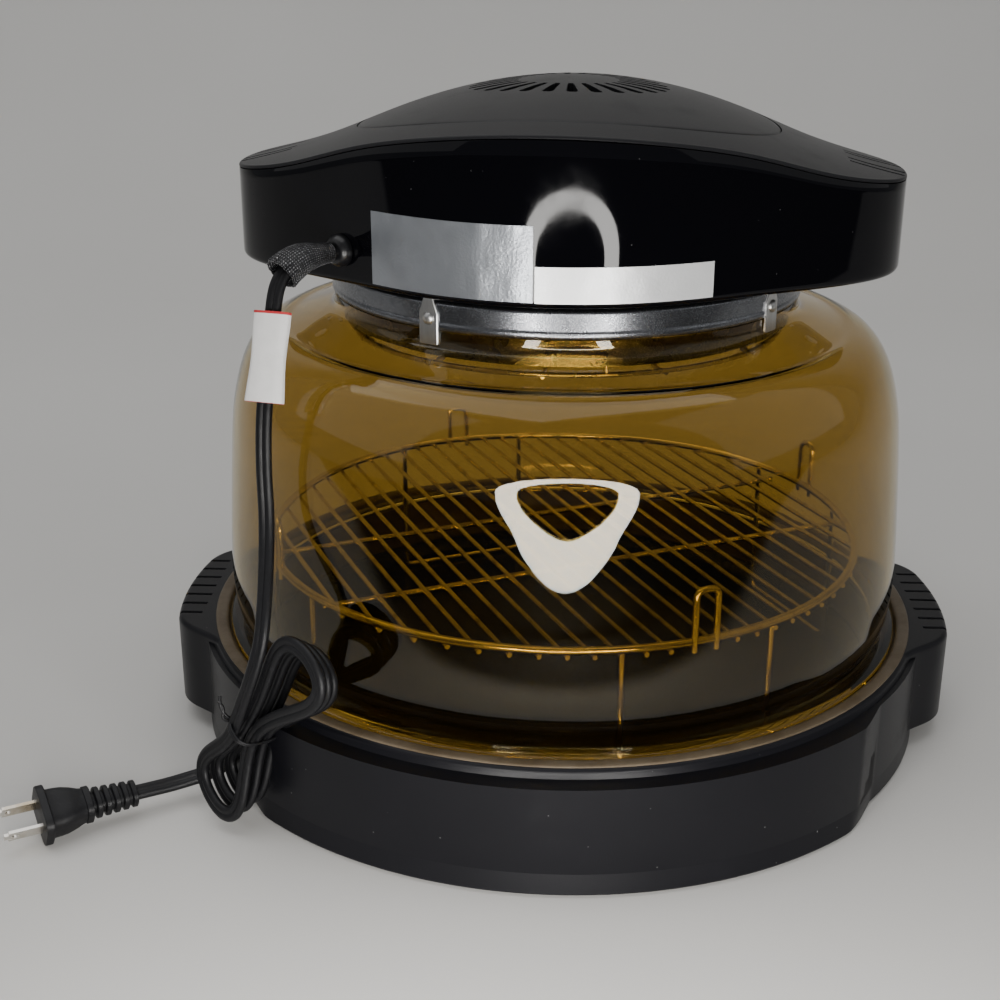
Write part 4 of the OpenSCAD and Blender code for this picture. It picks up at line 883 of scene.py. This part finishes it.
mesh_piece("vent_cap", satin, "satin_charcoal", "head", (cap_skin, "ring"), replaces=("vent_cap",), sharp=40)

# ---------------------------------------- foil plates
# Two blank plates of silver foil, stuck on the gloss wall. They are slightly wavy, as thin
# adhesive foil is on a curved wall.
foil = Finish("silver_foil", (0.70, 0.71, 0.73), 0.3, Metallic=0.75)
crease = foil.noise(14, 3, 0.5, foil.stretched((1, 1, 0.15)))
foil.set(
    Base_Color=foil.blend(foil.noise(24, 3), (0.42, 0.44, 0.47), (0.30, 0.32, 0.35)),
    Roughness=0.24 + 0.18 * foil.noise(9, 3),
)
foil.relief(crease + 0.2 * foil.noise(1.2, 2), 0.6)
pale_foil = Finish("pale_foil", (0.86, 0.87, 0.87), 0.34, Metallic=0.35)
pale_foil.set(
    Base_Color=pale_foil.blend(pale_foil.noise(18, 3), (0.88, 0.89, 0.89), (0.78, 0.79, 0.80)),
    Roughness=0.28 + 0.14 * pale_foil.noise(7, 3),
)
pale_foil.relief(pale_foil.noise(1.2, 2), 0.08)


def foil_plate(name, finish, start, stop, low, high, node):
    """Plate along the housing's wall between two angles: back 0.1 mm off it, face about 0.33 mm."""
    a = np.radians(np.linspace(start, stop, 90))
    z = np.linspace(low, high, 24)
    wave = 0.05 * np.sin(np.degrees(a) * 0.9)[None] * np.sin((z[:, None] - low) * 0.25)
    outer = head_edge(a)[None] + 0.33 + wave
    inner = head_edge(a)[None] + 0.1 + 0 * outer
    front = polar(outer, a + head_turn, z[:, None])
    back = polar(inner[:, ::-1], a[::-1] + head_turn, z[:, None])
    skin = np.concatenate([front, back], 1)
    mesh_piece(name, finish, "foil", "head", (skin, "tube"), replaces=(node,), sharp=40)


foil_plate("foil_left", foil, -130, -91.6, 245.4, 278.2, "rating_plate_left")
foil_plate("foil_right", pale_foil, -91.2, -53.2, 245.2, 261.0, "rating_plate_right")

# ---------------------------------------- control side
# A curved gloss fascia with a dark red display filter and eight round grey keys. It faces
# away from the cord.
window = Finish("display_filter", (0.035, 0.004, 0.004), 0.09, Coat_Weight=0.6, Coat_Roughness=0.04)
window.set(Base_Color=window.blend(window.noise(10, 2), (0.035, 0.004, 0.004), (0.02, 0.003, 0.003)))
key_plastic = Finish("key_plastic", (0.30, 0.30, 0.31), 0.38)
key_plastic.set(
    Base_Color=key_plastic.blend(key_plastic.noise(4, 3), (0.33, 0.33, 0.34), (0.26, 0.26, 0.27)),
    Roughness=0.34 + 0.12 * key_plastic.noise(1.2, 2),
)
key_plastic.relief(key_plastic.noise(0.5, 2), 0.02)
dress(gloss, "control_fascia")
dress(window, "display_window")
dress(key_plastic, *[f"key_{k}" for k in range(1, 9)])

# ---------------------------------------- inside the head
# The lamp ring hangs under a bright reflector, with the hot air fan in its middle and a wire
# guard below. The motor, its cooling fan and the boards lie above.
bright = Finish("bright_sheet", (0.80, 0.80, 0.80), 0.2, Metallic=1.0)
heat = bright.noise(40, 4)
bright.set(
    Base_Color=bright.blend(heat.rise(0.4, 0.8), (0.82, 0.82, 0.82), (0.62, 0.50, 0.33)),
    Roughness=0.16 + 0.2 * heat,
)
quartz = Finish("frosted_quartz", (0.86, 0.83, 0.78), 0.28, Coat_Weight=0.4)
quartz.set(Base_Color=quartz.blend(quartz.noise(18, 3), (0.88, 0.85, 0.80), (0.70, 0.62, 0.52)))
ceramic = Finish("glazed_ceramic", (0.86, 0.84, 0.79), 0.22)
ceramic.set(Base_Color=ceramic.blend(ceramic.noise(8, 3), (0.88, 0.86, 0.81), (0.74, 0.70, 0.62)))
mineral = Finish("mineral_board", (0.70, 0.67, 0.61), 0.85)
mineral.set(Base_Color=mineral.blend(mineral.noise(2, 4), (0.74, 0.71, 0.65), (0.60, 0.57, 0.50)))
mineral.relief(mineral.noise(1.5, 3), 0.3)
bronze = Finish("sintered_bronze", (0.50, 0.34, 0.16), 0.45, Metallic=1.0)
bronze.relief(bronze.noise(0.4, 2), 0.03)
steel = Finish("ground_steel", (0.62, 0.62, 0.62), 0.25, Metallic=1.0)
steel.set(Roughness=0.2 + 0.2 * steel.noise(1.5, 3, 0.5, steel.stretched((1, 1, 8))))
moulded_fan = Finish("fan_plastic", (0.05, 0.05, 0.055), 0.5)
moulded_fan.relief(moulded_fan.noise(0.7, 2), 0.03)
board = Finish("circuit_board", (0.03, 0.14, 0.06), 0.35)
board.set(Base_Color=board.blend(board.specks(3).rise(0.2, 0.3), (0.20, 0.30, 0.16), (0.03, 0.14, 0.06)))
dress(bright, "reflector", "hot_fan")
dress(quartz, "lamp_ring")
dress(ceramic, "lamp_end_caps")
dress(mineral, "insulation_ring")
dress(bronze, "motor_bushes")
dress(steel, "motor_shaft", "temperature_probe")
dress(moulded_fan, "cooling_fan")
dress(board, "power_board", "key_board")
dress(nickel, "guard_grille")
dress(zinc, "lamp_clips", "cover_pillars", "motor_bracket", "motor_can", "housing_screws", "bracket_screws")

# ---------------------------------------- stage and light
# A pale floor that sweeps up behind the oven, with painted shade that turns it dark well in front of it, a
# ring lamp in front, whose mirror image lies in the dome and the head, and large weak lights round about.
stage_finish = Finish("pale_floor", (0.62, 0.61, 0.59), 0.8)
cloth = stage_finish.blend(stage_finish.noise(400, 2), (0.64, 0.63, 0.61), (0.58, 0.57, 0.55))
# painted shade: the floor turns near black from 0.31 m to 0.37 m in front of the oven's axis, where it lies
# unlit
painted_shade_in_front = stage_finish.part(stage_finish.place, "Y").rise(-0.31, -0.37)
stage_finish.set(Base_Color=stage_finish.blend(painted_shade_in_front, cloth, (0.03, 0.03, 0.03)))
bow, bow_r = np.linspace(0, np.pi / 2, 16), 0.9
curve = np.stack([bow_r + bow_r * np.sin(bow), bow_r - bow_r * np.cos(bow)], 1)
sweep = np.r_[[(-3.0, 0.0), (bow_r, 0.0)], curve, [(2 * bow_r, 4.0)]]
floor_points = np.array([[(x, y, z) for x in (-3.5, 3.5)] for y, z in sweep]).reshape(-1, 3)
floor_faces = [(2 * k, 2 * k + 1, 2 * k + 3, 2 * k + 2) for k in range(len(sweep) - 1)]


def stage_piece(name, points, quads, finish):
    """A mesh in metres that isn't part of the oven."""
    made = bpy.data.meshes.new(name)
    made.from_pydata(points.tolist(), [], quads)
    made.polygons.foreach_set("use_smooth", np.ones(len(quads), bool))
    made.materials.append(finish.material)
    piece = bpy.data.objects.new(name, made)
    bpy.context.collection.objects.link(piece)
    return piece


stage_piece("pale_floor", floor_points, floor_faces, stage_finish)


def soft_light(name, place, aim, size, power):
    """Square area light at place, turned to aim, both in metres."""
    lamp = bpy.data.lights.new(name, "AREA")
    lamp.shape, lamp.size, lamp.energy = "SQUARE", size, power
    made = bpy.data.objects.new(name, lamp)
    made.visible_camera = False
    bpy.context.collection.objects.link(made)
    back = unit(np.subtract(place, aim))
    side = unit(np.cross([0, 0, 1], back))
    made.matrix_world = placed(side, np.cross(back, side), back, place)


glow = Finish("ring_glow", (0, 0, 0), 1.0, Emission_Color=(1.0, 0.98, 0.95, 1.0), Emission_Strength=30.0)
# the lamp is an upright ring that hangs lower than it rises; its outer and its inner edge are
# each given by half the width, the rise and the fall from the middle
lamp_count, (lamp_x, lamp_y, lamp_z) = 96, (0.015, -0.5, 0.182)
around = circle_of(lamp_count)
lamp_points = []
for half, rise, fall in ((0.172, 0.050, 0.149), (0.118, 0.037, 0.104)):
    height = lamp_z + np.where(np.sin(around) > 0, rise, fall) * np.sin(around)
    lamp_points.append(np.stack([lamp_x + half * np.cos(around), lamp_y + 0 * around, height], 1))
following = [(k + 1) % lamp_count for k in range(lamp_count)]
lamp_faces = [(k, n, lamp_count + n, lamp_count + k) for k, n in enumerate(following)]
stage_piece("ring_lamp", np.concatenate(lamp_points), lamp_faces, glow).visible_camera = False
soft_light("light_above", (-0.3, 0.4, 2.6), (0, 0.1, 0.1), 3.0, 42)
soft_light("light_left", (-2.2, -0.6, 1.6), (0, 0, 0.15), 2.6, 9)
soft_light("light_right", (2.2, -0.4, 1.5), (0, 0, 0.15), 2.6, 7)
sky = bpy.data.worlds.new("sky")
sky.use_nodes = True
sky.node_tree.nodes["Background"].inputs["Color"].default_value = (0.80, 0.82, 0.85, 1)
sky.node_tree.nodes["Background"].inputs["Strength"].default_value = 0.2
bpy.context.scene.world = sky
